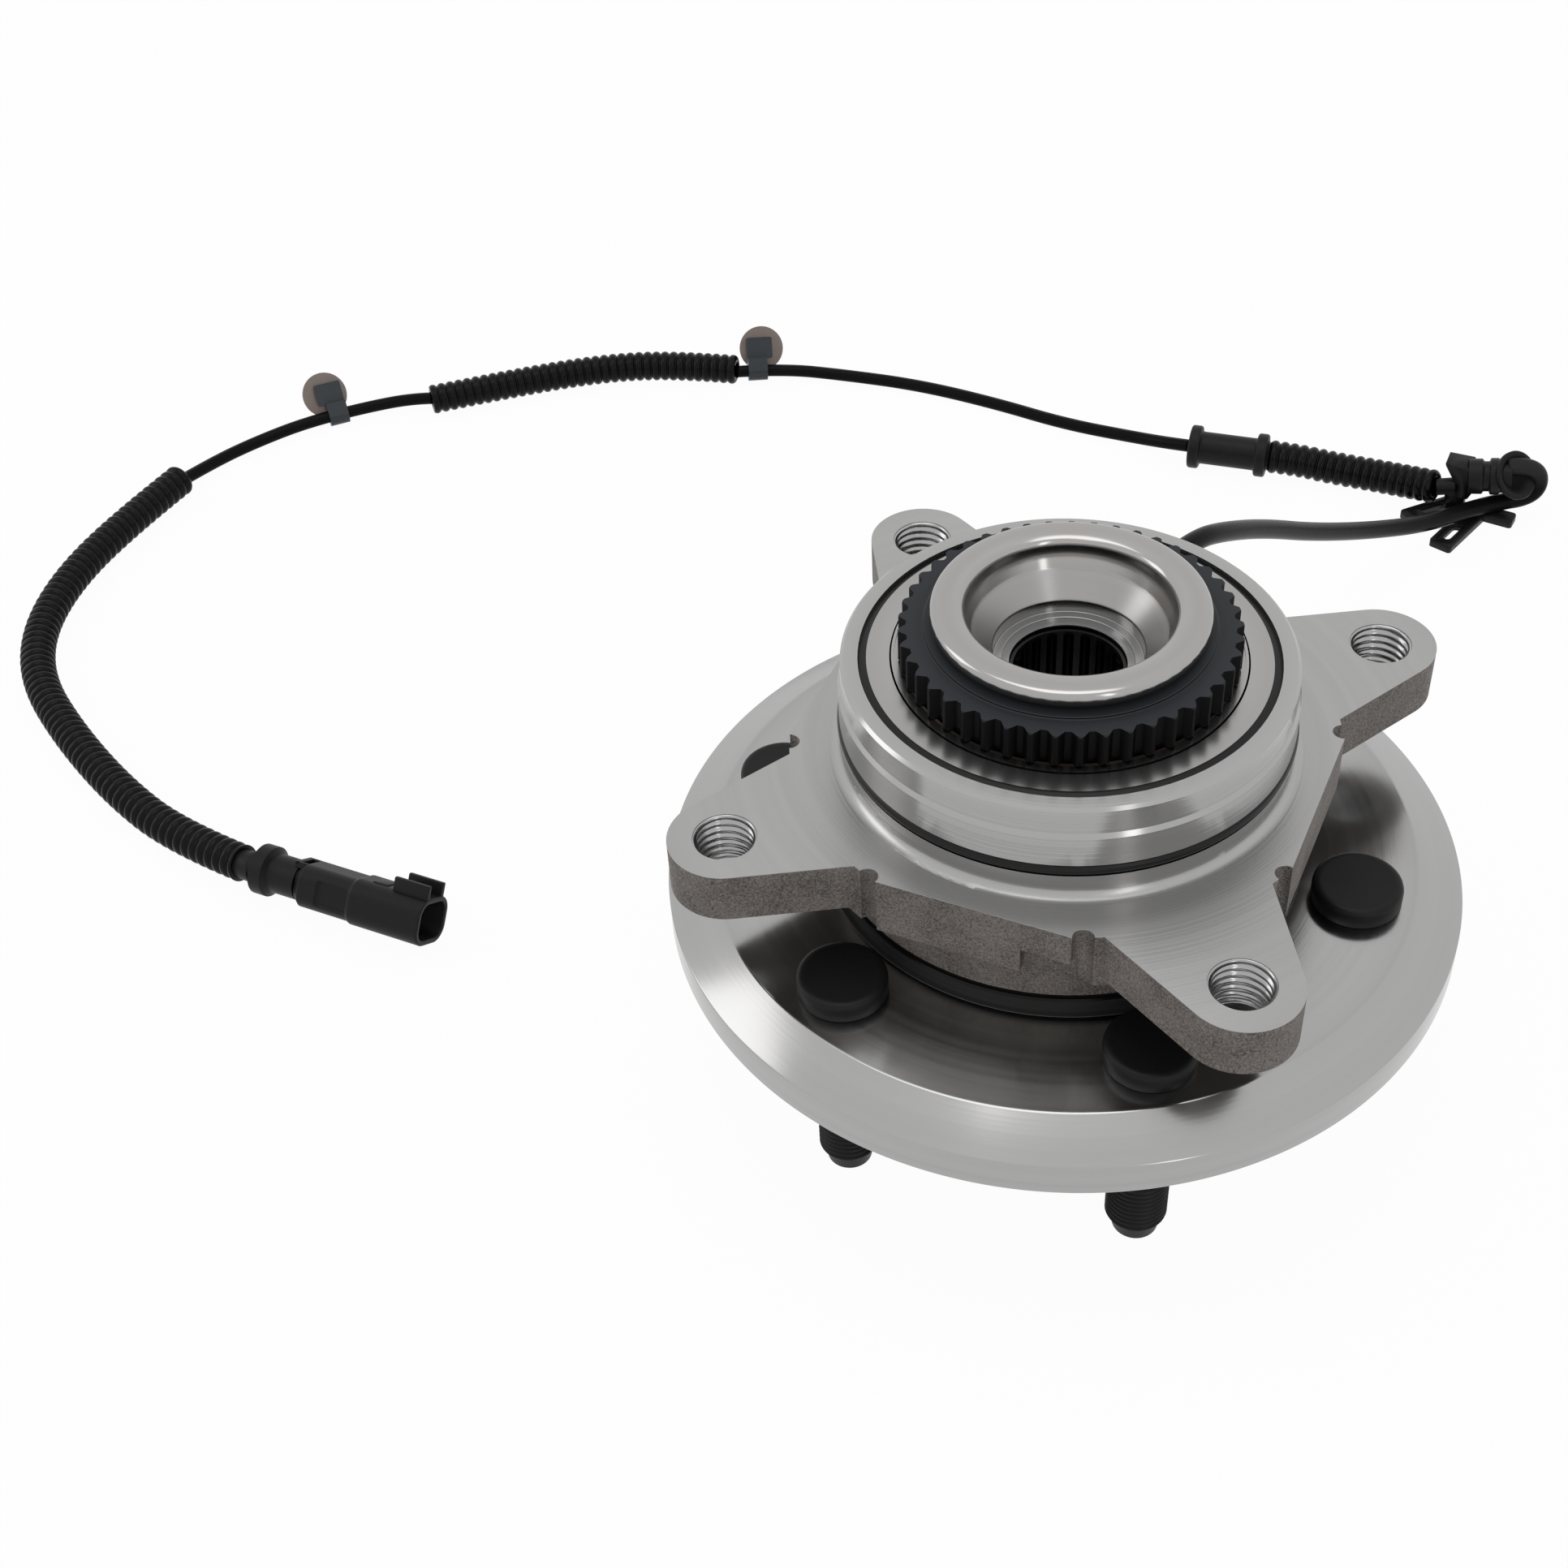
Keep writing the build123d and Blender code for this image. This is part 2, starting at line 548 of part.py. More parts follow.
def roller_row(center, apex_side, cage_name, roller_name):
    """One row of tapered rollers and its pressed cage. apex_side is -1 where the apex is below."""
    apex = center + apex_side * apex_distance
    low = roller_middle - roller_length / 2
    high = roller_middle + roller_length / 2
    slope = tan(radians(roller_half_angle))
    with BuildPart() as rollers:
        for number in range(roller_count):
            turn = radians(360 / roller_count * number)
            out = Vector(sin(radians(row_angle)) * cos(turn), sin(radians(row_angle)) * sin(turn),
                         -apex_side * cos(radians(row_angle)))
            side = Vector(-sin(turn), cos(turn), 0)
            face = Plane(origin=(0, 0, apex), x_dir=side, z_dir=out.cross(side))
            with BuildSketch(face):
                with BuildLine():
                    Polyline((0, -low), (low * slope, -low), (high * slope, -high), (0, -high), close=True)
                make_face()
            revolve(axis=Axis((0, 0, apex), out))
    save(rollers.part, roller_name)

    def at(distance, offset):
        """Point of the cage's outline at a distance from the apex, offset across the wall."""
        radius = distance * tan(radians(row_angle)) + offset / cos(radians(row_angle))
        return (radius, apex - apex_side * distance)

    start = apex_distance - half_row - cage_rim
    end = apex_distance + half_row + cage_rim
    with BuildPart() as cage:
        with BuildSketch(Plane.XZ):
            with BuildLine():
                Polyline(at(start, -cage_wall / 2), at(end, -cage_wall / 2), at(end, cage_wall / 2),
                         at(start, cage_wall / 2), close=True)
            make_face()
        revolve(axis=Axis.Z)
        reach = cage_wall + 2
        gap = roller_end_clearance
        for number in range(roller_count):
            turn = radians(360 / roller_count * number)
            out = Vector(sin(radians(row_angle)) * cos(turn), sin(radians(row_angle)) * sin(turn),
                         -apex_side * cos(radians(row_angle)))
            side = Vector(-sin(turn), cos(turn), 0)
            across = side.cross(out)
            pocket_plane = Plane(origin=Vector(0, 0, apex) - across * reach, x_dir=side, z_dir=across)
            small = low * slope + cage_pocket_clearance
            large = high * slope + cage_pocket_clearance
            sign = 1 if (pocket_plane.y_dir - out).length < 1 else -1
            with BuildSketch(pocket_plane):
                Polygon((-small, sign * (low - gap)), (small, sign * (low - gap)),
                        (large, sign * (high + gap)), (-large, sign * (high + gap)), align=None)
            extrude(amount=2 * reach, mode=Mode.SUBTRACT)
    save(cage.part, cage_name)


roller_row(row_outboard_height, 1, "outboard_cage", "outboard_rollers")
roller_row(row_inboard_height, -1, "inboard_cage", "inboard_rollers")

# Needle bearing: drawn cup, cage and rollers
cup_top = step_floor - needle_cup_sink
cup_low = cup_top - needle_cup_length
cup_inner = needle_cup_radius - needle_cup_wall
lip_radius = needle_pitch_radius + needle_lip_reach
ring_about_z([(lip_radius, cup_low), (needle_cup_radius, cup_low), (needle_cup_radius, cup_top),
              (lip_radius, cup_top), (lip_radius, cup_top - needle_cup_wall),
              (cup_inner, cup_top - needle_cup_wall), (cup_inner, cup_low + needle_cup_wall),
              (lip_radius, cup_low + needle_cup_wall)], "needle_cup")
needle_mid = (cup_low + cup_top) / 2
cage_half = needle_length / 2 + 1.2
with BuildPart() as needle_rollers:
    with BuildSketch(Plane.XY.offset(needle_mid - needle_length / 2)):
        with PolarLocations(needle_pitch_radius, needle_count):
            Circle(needle_radius)
    extrude(amount=needle_length)
save(needle_rollers.part, "needle_rollers")
with BuildPart() as needle_cage:
    with BuildSketch(Plane.XY.offset(needle_mid - cage_half)):
        Circle(needle_pitch_radius + needle_cage_wall / 2)
        Circle(needle_pitch_radius - needle_cage_wall / 2, mode=Mode.SUBTRACT)
    extrude(amount=2 * cage_half)
    with BuildSketch(Plane.XY.offset(needle_mid - needle_length / 2 - roller_end_clearance)):
        with PolarLocations(needle_pitch_radius, needle_count):
            Rectangle(2 * needle_radius + 1, 2 * needle_radius + 0.1)
    extrude(amount=needle_length + 2 * roller_end_clearance, mode=Mode.SUBTRACT)
save(needle_cage.part, "needle_cage")

# Wheel speed sensor, its screw and the moulded boot of its lead
sensor_face = Plane(origin=(0, skirt_apothem, sensor_height), x_dir=(1, 0, 0), z_dir=(0, 1, 0))
with BuildPart() as speed_sensor:
    with BuildSketch(sensor_face):
        with Locations((-sensor_screw_offset / 2, 0)):
            RectangleRounded(sensor_plate_width, sensor_plate_height, sensor_plate_height / 2 - 0.1)
        with Locations((-sensor_screw_offset, 0)):
            Circle(sensor_screw_radius + 0.2, mode=Mode.SUBTRACT)
    extrude(amount=sensor_plate_thickness)
    with BuildSketch(sensor_face):
        Circle(sensor_tip_radius)
    extrude(amount=-(skirt_apothem - tone_ring_radius - sensor_tip_gap))
    with BuildSketch(sensor_face.offset(sensor_plate_thickness)):
        RectangleRounded(2 * sensor_head_radius - 2, 2 * sensor_head_radius - 1, 3)
    extrude(amount=sensor_head_end - skirt_apothem - sensor_plate_thickness)
save(speed_sensor.part, "speed_sensor")
with BuildPart() as sensor_screw:
    head_plane = sensor_face.offset(sensor_plate_thickness)
    with BuildSketch(head_plane):
        with Locations((-sensor_screw_offset, 0)):
            RegularPolygon(sensor_screw_head, 6)
    extrude(amount=3.0)
    with BuildSketch(head_plane):
        with Locations((-sensor_screw_offset, 0)):
            Circle(sensor_screw_radius)
    extrude(amount=-sensor_plate_thickness - 8)
save(sensor_screw.part, "sensor_screw")
lead_exit = Vector(*lead_route[0])
lead_axis = (Vector(*lead_route[1]) - lead_exit).normalized()
with BuildPart() as sensor_boot:
    boot_face = sensor_face.offset(sensor_head_end - skirt_apothem)
    with BuildSketch(boot_face):
        Circle(sensor_head_radius - 1.4)
    extrude(amount=lead_exit.Y - sensor_head_end - 3, taper=8)
    with BuildSketch(Plane(origin=lead_exit, z_dir=lead_axis)):
        Circle(lead_diameter / 2 + 0.7)
    extrude(amount=-8)
save(sensor_boot.part, "sensor_boot")


def cord(route, diameter, name):
    """Round cord along straight runs and tangent arcs. Each arc is as large as its runs allow."""
    points = [Vector(*p) for p in route]
    radii = []
    for before, here, after in zip(points, points[1:], points[2:]):
        turn = (here - before).get_angle(after - here)
        shorter = min((here - before).length, (after - here).length)
        radii.append(0.45 * shorter / tan(radians(turn / 2)))
    print(name, "radii", [round(r, 1) for r in radii])
    with BuildPart() as tube:
        with BuildLine() as path:
            FilletPolyline(*points, radius=radii)
        start = Plane(origin=points[0], z_dir=points[1] - points[0])
        with BuildSketch(start):
            Circle(diameter / 2)
        sweep(path=path.line)
    length = sum(edge.length for edge in path.edges())
    print(name, "length", round(length, 1), "volume ratio",
          round(tube.part.volume / (pi * diameter ** 2 / 4 * length), 4))
    save(tube.part, name)
    return length


cord(lead_route, lead_diameter, "sensor_lead")
cord(short_conduit_route, short_conduit_diameter, "short_conduit")
cord(cable_route, cable_diameter, "harness_cable")
cord(mid_conduit_route, mid_conduit_diameter, "mid_conduit")
cord(link_route, cable_diameter, "link_cable")
cord(long_conduit_route, long_conduit_diameter, "long_conduit")

# Moulded bracket that turns the lead into the first conduit
collar_inner = Vector(*lead_route[-1])
collar_axis = (Vector(*lead_route[-2]) - collar_inner).normalized()
block_x0, block_x1, block_y0, block_y1, block_z0, block_z1 = bracket_block
post_x0, post_x1, post_y0, post_y1 = bracket_post
leg_plane = Plane.XY.offset(ground)
conduit_end = Vector(*short_conduit_route[0])
conduit_axis = (conduit_end - Vector(*short_conduit_route[1])).normalized()
short_leg = Location((*bracket_short_leg_middle, 0), (0, 0, bracket_short_leg_turn))
long_leg = Location((*bracket_long_leg_middle, 0), (0, 0, bracket_long_leg_turn))
with BuildPart() as cable_bracket:
    with BuildSketch(Plane.XY.offset(block_z0)):
        with Locations(((block_x0 + block_x1) / 2, (block_y0 + block_y1) / 2)):
            Rectangle(block_x1 - block_x0, block_y1 - block_y0)
    extrude(amount=block_z1 - block_z0)
    chamfer(cable_bracket.edges().filter_by(Axis.X), 1.6)
    with BuildSketch(leg_plane):
        with Locations(((post_x0 + post_x1) / 2, (post_y0 + post_y1) / 2)):
            Rectangle(post_x1 - post_x0, post_y1 - post_y0)
    extrude(amount=block_z0 - ground + 2)
    with BuildSketch(Plane(origin=conduit_end, z_dir=conduit_axis)):
        Circle(bracket_spigot_radius)
    extrude(amount=block_x0 - conduit_end.X + 3)
    with BuildSketch(Plane(origin=collar_inner - collar_axis * 13, z_dir=collar_axis)):
        Circle(bracket_neck_radius)
    extrude(amount=15.5)
    with BuildSketch(Plane(origin=collar_inner + collar_axis * 1.5, z_dir=collar_axis)):
        Circle(bracket_collar_radius)
    extrude(amount=bracket_collar_width)
    # Two slotted legs and a foot, flat on the ground
    with BuildSketch(leg_plane):
        with Locations(short_leg):
            RectangleRounded(bracket_short_leg_length, bracket_leg_width, bracket_leg_corner)
            SlotOverall(bracket_slot_length, bracket_slot_width, mode=Mode.SUBTRACT)
        with Locations(long_leg):
            RectangleRounded(bracket_long_leg_length, bracket_leg_width, bracket_leg_corner)
        with Locations(long_leg * Location((-bracket_slot_shift, 0, 0))):
            SlotOverall(bracket_slot_length, bracket_slot_width, mode=Mode.SUBTRACT)
        with Locations(Location((*bracket_foot_middle, 0), (0, 0, bracket_foot_turn))):
            RectangleRounded(bracket_foot_length, bracket_foot_width, 1.2)
    extrude(amount=bracket_leg_thickness)
    with BuildSketch(Plane(origin=collar_inner, z_dir=collar_axis)):
        Circle(lead_diameter / 2 + cord_grip)
    extrude(amount=12, mode=Mode.SUBTRACT)
save(cable_bracket.part, "cable_bracket")

# Bobbin grommet between the first conduit and the bare cable
grommet_start = Vector(*short_conduit_route[-1])
grommet_end = Vector(*cable_route[0])
grommet_axis = (grommet_end - grommet_start).normalized()
grommet_length = (grommet_end - grommet_start).length
with BuildPart() as cable_grommet:
    with BuildSketch(Plane(origin=grommet_start, z_dir=grommet_axis)):
        Circle(grommet_body_radius)
    extrude(amount=grommet_length)
    for position in (0, grommet_length - grommet_flange):
        with BuildSketch(Plane(origin=grommet_start + grommet_axis * position, z_dir=grommet_axis)):
            Circle(grommet_radius)
        extrude(amount=grommet_flange)
save(cable_grommet.part, "cable_grommet")


def clip(number, cable_from, cable_to, share, shift, facing):
    """Strap round the cable with its head and barbed stem, and the soft sealing disc on the stem."""
    start = Vector(*cable_from)
    along = (Vector(*cable_to) - start).normalized()
    center = start + (Vector(*cable_to) - start) * share
    up = along.cross(Vector(*facing)).normalized()
    out = up.cross(along)
    band = cable_diameter / 2 + clip_hole_clearance + clip_band_thickness
    middle = center + up * clip_disc_offset - out * band + along * shift
    head = Plane(origin=middle, x_dir=along, z_dir=out)
    with BuildPart() as strap:
        with BuildSketch(Plane(origin=center - along * clip_band_width / 2, x_dir=up, z_dir=along)):
            Circle(band)
            with Locations((band / 2 + 0.5, 0)):
                Rectangle(band + 1, 2 * band)
        extrude(amount=clip_band_width)
        with BuildSketch(head):
            with Locations((-shift / 2, -clip_disc_offset / 2 + clip_head_length / 2)):
                RectangleRounded(clip_head_width, clip_head_length, 0.8)
        extrude(amount=clip_head_height)
        with BuildSketch(Plane(origin=center - along * clip_band_width * 2, z_dir=along)):
            Circle(cable_diameter / 2 + clip_hole_clearance)
        extrude(amount=clip_band_width * 4, mode=Mode.SUBTRACT)
        with BuildSketch(Plane(origin=middle, x_dir=along, z_dir=up)):
            with BuildLine():
                reach = [0, 2.6, 2.6, 3.9, 3.9, 5.2, 5.2, 6.5, 6.5, clip_stem_length]
                width = [1.0, 1.0, 1.3, 1.0, 1.3, 1.0, 1.3, 1.0, 1.2, 0.5]
                rim = [(w * clip_stem_radius, -r) for w, r in zip(width, reach)]
                Polyline((0, 0), *rim, (0, -clip_stem_length), close=True)
            make_face()
        revolve(axis=Axis(middle, out))
    save(strap.part, "clip_strap_%d" % number)
    with BuildPart() as disc:
        with BuildSketch(Plane(origin=middle - out * clip_disc_thickness, x_dir=along, z_dir=out)):
            Circle(clip_disc_radius)
            Circle(clip_stem_radius + clip_hole_clearance, mode=Mode.SUBTRACT)
        extrude(amount=clip_disc_thickness)
    save(disc.part, "clip_disc_%d" % number)


clip(1, cable_route[-2], cable_route[-1], 0.56, -2.0, (0.382, -0.759, 0.528))
clip(2, link_route[2], link_route[3], 0.52, 2.2, (0.542, -0.658, 0.521))

# Connector boot, shell and pins
shell_lean = radians(shell_turn)
shell_axis_z = (ground + shell_corner + (shell_width / 2 - shell_corner) * sin(shell_lean)
                + (shell_height / 2 - shell_corner) * cos(shell_lean))
shell_plane = Plane(origin=(shell_rear, shell_axis_y, shell_axis_z), z_dir=(1, 0, 0),
                    x_dir=(0, cos(shell_lean), -sin(shell_lean)))
conduit_tail = Vector(*long_conduit_route[-1])
tail_axis = (conduit_tail - Vector(*long_conduit_route[-2])).normalized()
boot_start = conduit_tail.X + 3.6
boot_length = shell_rear - boot_start
with BuildPart() as connector_boot:
    with BuildSketch(Plane(origin=conduit_tail, z_dir=tail_axis)):
        Circle(boot_stub_radius)
    extrude(amount=5)
    with BuildSketch(Plane(origin=(boot_start, shell_axis_y, shell_axis_z), x_dir=(1, 0, 0),
                           z_dir=(0, -1, 0))):
        with BuildLine():
            Polyline((0, 0), (0, boot_stub_radius), (1.6, boot_stub_radius), (3.0, boot_radius),
                     (6.6, boot_radius), (7.6, boot_neck_radius), (boot_length, boot_neck_radius),
                     (boot_length, 0), close=True)
        make_face()
    revolve(axis=Axis((boot_start, shell_axis_y, shell_axis_z), (1, 0, 0)))
save(connector_boot.part, "connector_boot")
with BuildPart() as connector_shell:
    with BuildSketch(shell_plane):
        RectangleRounded(shell_width - 2 * shell_step_size, shell_height - 2 * shell_step_size,
                         shell_corner - shell_step_size)
    extrude(amount=shell_step - shell_rear)
    chamfer(connector_shell.faces().sort_by(Axis.X)[0].edges(), shell_rear_chamfer)
    with BuildSketch(shell_plane.offset(shell_step - shell_rear)):
        RectangleRounded(shell_width, shell_height, shell_corner)
    extrude(amount=shell_mouth - shell_step)
    with BuildSketch(shell_plane.offset(shell_mouth - shell_rear)):
        RectangleRounded(shell_width - 2 * shell_wall, shell_height - 2 * shell_wall,
                         shell_corner - shell_wall)
    extrude(amount=-shell_cavity, mode=Mode.SUBTRACT)
    with BuildSketch(shell_plane.offset(shell_mouth - shell_rear)):
        for side in (-1, 1):
            with Locations((side * rail_gap / 2, shell_height / 2 + rail_height / 2 - 0.4)):
                Rectangle(rail_thickness, rail_height + 0.8)
    extrude(amount=-rail_length)
save(connector_shell.part, "connector_shell")
with BuildPart() as connector_pins:
    with BuildSketch(shell_plane.offset(shell_mouth - shell_rear - shell_cavity)):
        with GridLocations(4.2, 1, 2, 1):
            Rectangle(1.2, 0.8)
    extrude(amount=shell_cavity - 7)
save(connector_pins.part, "connector_pins")
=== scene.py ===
# %% [markdown]
# A front wheel hub bearing of a light truck, dressed for a studio picture.
# The CAD model comes first and stays where it is: its origin is on the wheel's axis, in the plane
# of the face that the wheel bolts to, and +Z points toward the drive shaft. Everything made here
# is in metres in that same frame, so a piece can be placed from the CAD's own sizes.

# %% Load the imported model
import bmesh
import bpy
import json
from itertools import product
from math import cos, pi, radians, sin, tau
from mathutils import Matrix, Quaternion, Vector

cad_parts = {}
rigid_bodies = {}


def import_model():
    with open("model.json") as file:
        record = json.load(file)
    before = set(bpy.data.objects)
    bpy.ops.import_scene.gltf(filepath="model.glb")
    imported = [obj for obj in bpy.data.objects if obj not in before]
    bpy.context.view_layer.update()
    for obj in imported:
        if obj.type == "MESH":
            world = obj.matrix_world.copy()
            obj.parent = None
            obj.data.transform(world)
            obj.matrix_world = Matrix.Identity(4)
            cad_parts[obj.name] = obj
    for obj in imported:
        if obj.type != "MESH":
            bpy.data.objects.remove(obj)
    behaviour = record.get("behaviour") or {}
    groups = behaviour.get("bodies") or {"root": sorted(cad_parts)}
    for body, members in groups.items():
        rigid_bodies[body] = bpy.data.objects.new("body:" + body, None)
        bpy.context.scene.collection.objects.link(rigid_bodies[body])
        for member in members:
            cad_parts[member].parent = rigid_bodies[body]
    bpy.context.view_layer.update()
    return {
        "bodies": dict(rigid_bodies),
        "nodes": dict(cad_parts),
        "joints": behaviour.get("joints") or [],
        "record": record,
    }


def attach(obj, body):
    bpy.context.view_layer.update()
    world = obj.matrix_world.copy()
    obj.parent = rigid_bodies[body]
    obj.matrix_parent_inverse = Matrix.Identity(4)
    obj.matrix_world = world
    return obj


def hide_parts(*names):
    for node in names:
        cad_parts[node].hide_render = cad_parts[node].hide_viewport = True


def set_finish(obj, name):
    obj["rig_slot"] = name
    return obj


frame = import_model()
nodes = frame["nodes"]
studio = bpy.context.scene
studio.view_settings.view_transform = "Standard"

# %% [markdown]
# The camera looks down at the unit at about 43 degrees, a little from the left of the drive shaft
# side. Its place was solved from circles of known size: the flange, the ear holes and the gear.

# %% Camera
eye = bpy.data.objects.new("eye", bpy.data.cameras.new("eye"))
studio.collection.objects.link(eye)
studio.camera = eye
heading, pitch, roll = radians(116.99), radians(-42.724), radians(-3.778)
gaze = Vector((cos(pitch) * cos(heading), cos(pitch) * sin(heading), sin(pitch)))
eye.location = (0.1125, -0.35898, 0.37876)
eye.rotation_mode = "QUATERNION"
eye.rotation_quaternion = gaze.to_track_quat("-Z", "Y") @ Quaternion((0, 0, 1), roll)
eye.data.sensor_width = 36
eye.data.lens = 51.752
eye.data.clip_start, eye.data.clip_end = 0.01, 20
print("camera at", tuple(eye.location), "looking along", tuple(round(c, 3) for c in gaze))

# %% [markdown]
# The harness is a chain of cords that lies on the studio surface: a smooth sensor lead, a thin
# two-core cable and three lengths of corrugated conduit over it. A NURBS curve with few control
# points gives the springy bends of a real lead. The points are in millimetres and follow the CAD's.
# Only the last ones of the sensor lead are moved a little, for a wider fold at the bracket.

# %% Routes of the harness
lead_route = [(0, 80, 37.6), (2.8, 91, 36.4), (6.4, 106, 29.4), (11.6, 130.5, 14.8),
              (19.6, 159, -4.2), (30.5, 191.5, -23.2), (43, 217, -35), (55.8, 239.2, -39.6),
              (70.4, 246.4, -37.6), (68.9, 246, -25.8), (60, 242.1, -26.4)]
short_conduit_route = [(40.7, 237, -35.4), (25.5, 240.8, -38.2), (8, 240.4, -38.5),
                       (-3, 238.7, -37), (-12.2, 237.55, -37)]
cable_route = [(-36.6, 234.5, -37), (-43.5, 235.4, -38.2), (-56, 239, -41.2), (-80, 239.2, -41.7),
               (-106, 242.9, -41.8), (-134, 244.3, -41.8), (-160, 240.8, -41.4),
               (-180, 235.8, -40.4), (-193.8, 227.6, -39.6)]
mid_conduit_route = [(-193.8, 227.6, -38.8), (-214, 223.4, -38.8), (-236, 213.6, -38.8),
                     (-261, 194.8, -38.8), (-283.6, 174.9, -38.8)]
link_route = [(-283.6, 175.9, -38.8), (-291, 174.4, -39.7), (-302.8, 166.2, -40.4),
              (-318, 150.4, -40.4), (-328.4, 135.6, -41.2), (-335, 120.5, -41),
              (-337.4, 106, -39.6)]
long_conduit_route = [(-337.3, 105.6, -38.7), (-339.6, 80, -38.7), (-339, 50, -38.7),
                      (-331.5, 24, -38.7), (-316.5, 4, -38.7), (-292, -12.2, -38.7),
                      (-264, -26.5, -38.7), (-238, -35.5, -38.7), (-213.4, -38.9, -37)]


def line_of(route):
    """Close points along an open NURBS line with the route's points as its control points."""
    curve = bpy.data.curves.new("measuring_line", "CURVE")
    curve.dimensions = "3D"
    spline = curve.splines.new("NURBS")
    spline.points.add(len(route) - 1)
    for knot, place in zip(spline.points, route):
        knot.co = (place[0] / 1000, place[1] / 1000, place[2] / 1000, 1)
    spline.order_u = 3
    spline.use_endpoint_u = True
    spline.resolution_u = 40
    line = bpy.data.objects.new("measuring_line", curve)
    studio.collection.objects.link(line)
    mesh = bpy.data.meshes.new_from_object(line)
    points = [v.co.copy() for v in mesh.vertices]
    bpy.data.objects.remove(line)
    bpy.data.meshes.remove(mesh)
    return points


def length_of(points):
    return sum((b - a).length for a, b in zip(points, points[1:]))


print("cable line", round(1000 * length_of(line_of(cable_route)), 1), "mm")

# %% [markdown]
# A tube that follows a line needs a frame at each step. Carrying the last frame along and only
# straightening it keeps the tube from twisting at a steep bend.

# %% Tubes along a line
def even_line(points, step):
    """The same line in even steps of about the given length."""
    total = length_of(points)
    count = max(2, round(total / step))
    marks, travelled, wanted = [points[0]], 0.0, total / count
    for a, b in zip(points, points[1:]):
        piece = (b - a).length
        while piece > 0 and travelled + piece >= wanted * len(marks) - 1e-9 and len(marks) < count:
            marks.append(a.lerp(b, (wanted * len(marks) - travelled) / piece))
        travelled += piece
    return marks + [points[-1]]


def frames_along(line):
    """A tangent, a side and an up direction at each point, carried along without twist."""
    tangents = [(line[min(i + 1, len(line) - 1)] - line[max(i - 1, 0)]).normalized()
                for i in range(len(line))]
    up = Vector((0, 0, 1))
    found = []
    for tangent in tangents:
        up = (up - tangent * up.dot(tangent)).normalized()
        found.append((tangent, tangent.cross(up), up))
    return found


def piece_from(name, verts, faces, smooth=True):
    mesh = bpy.data.meshes.new(name)
    mesh.from_pydata(verts, [], faces)
    shape = bmesh.new()
    shape.from_mesh(mesh)
    bmesh.ops.recalc_face_normals(shape, faces=shape.faces)
    shape.to_mesh(mesh)
    shape.free()
    mesh.polygons.foreach_set("use_smooth", [smooth] * len(mesh.polygons))
    piece = bpy.data.objects.new(name, mesh)
    studio.collection.objects.link(piece)
    return piece


def ring_faces(rings, around, closed=False):
    """Quads between even rings of points, with a cap on each end, or closed back to the start."""
    last = (rings - 1) * around
    bands = [(r * around, (r + 1) * around) for r in range(rings - 1)] + [(last, 0)] * closed
    faces = [(a + i, a + (i + 1) % around, b + (i + 1) % around, b + i)
             for a, b in bands for i in range(around)]
    if not closed:
        faces += [tuple(range(around))[::-1], tuple(range(last, last + around))]
    return faces


def ring_at(place, frame, reach_at, around):
    """Points of one ring across a line; reach_at gives the radius at an angle."""
    tangent, side, up = frame
    turns = [tau * k / around for k in range(around)]
    reaches = [reach_at(turn) for turn in turns]
    return [place + side * (cos(t) * r) + up * (sin(t) * r) for t, r in zip(turns, reaches)]


def tube(name, line, radius_at, around):
    """Tube whose radius is radius_at(distance along, angle), with a disc over each end."""
    verts, travelled = [], 0.0
    for i, (place, across) in enumerate(zip(line, frames_along(line))):
        travelled += (place - line[i - 1]).length if i else 0.0
        verts += ring_at(place, across, lambda angle: radius_at(travelled, angle), around)
    return piece_from(name, verts, ring_faces(len(line), around))


print("tubes ready")

# %% [markdown]
# The conduit's rings have broad round crests and narrow grooves, about 2.95 mm apart.
# Its ends are cut off square, and show a thin wall with the cable inside.

# %% Corrugated conduit
ring_pitch, ring_depth, conduit_wall, mouth_depth = 0.00295, 0.00115, 0.0021, 0.006
conduit_around = 40


def conduit(name, route, diameter):
    """A corrugated tube along the route, open for a short way at both ends."""
    line = even_line(line_of(route), ring_pitch / 12)
    crest = diameter / 2
    groove, hollow = crest - ring_depth, crest - conduit_wall

    def radius_at(along, angle):
        wave = abs(sin(pi * along / ring_pitch))
        return groove + (crest - groove) * wave ** 0.55

    skin = tube(name, line, radius_at, conduit_around)
    verts = [v.co.copy() for v in skin.data.vertices]
    faces = [tuple(p.vertices) for p in skin.data.polygons][:-2]
    frames = frames_along(line)
    steps = round(mouth_depth / (length_of(line) / (len(line) - 1)))
    for end, order in ((0, 1), (len(line) - 1, -1)):
        rims = [end * conduit_around + k for k in range(conduit_around)]
        for index in (end, end + order * steps):
            new = list(range(len(verts), len(verts) + conduit_around))
            tangent, side, up = frames[index]
            for k in range(conduit_around):
                angle = tau * k / conduit_around
                verts.append(line[index] + side * (cos(angle) * hollow) + up * (sin(angle) * hollow))
            quads = [(rims[k - 1], rims[k], new[k], new[k - 1]) for k in range(conduit_around)]
            faces += quads if order < 0 else [q[::-1] for q in quads]
            rims = new
        faces.append(tuple(rims) if order < 0 else tuple(rims[::-1]))
    bpy.data.objects.remove(skin)
    made = piece_from(name + "_rings", verts, faces)
    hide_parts(name)
    return made, line


conduits = {}
for name, route, diameter in (("short_conduit", short_conduit_route, 0.0104),
                              ("mid_conduit", mid_conduit_route, 0.0098),
                              ("long_conduit", long_conduit_route, 0.0102)):
    conduits[name] = conduit(name, route, diameter)
    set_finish(conduits[name][0], "conduit_plastic")
    print(name, round(1000 * length_of(conduits[name][1]), 1), "mm,",
          len(conduits[name][0].data.vertices), "points")

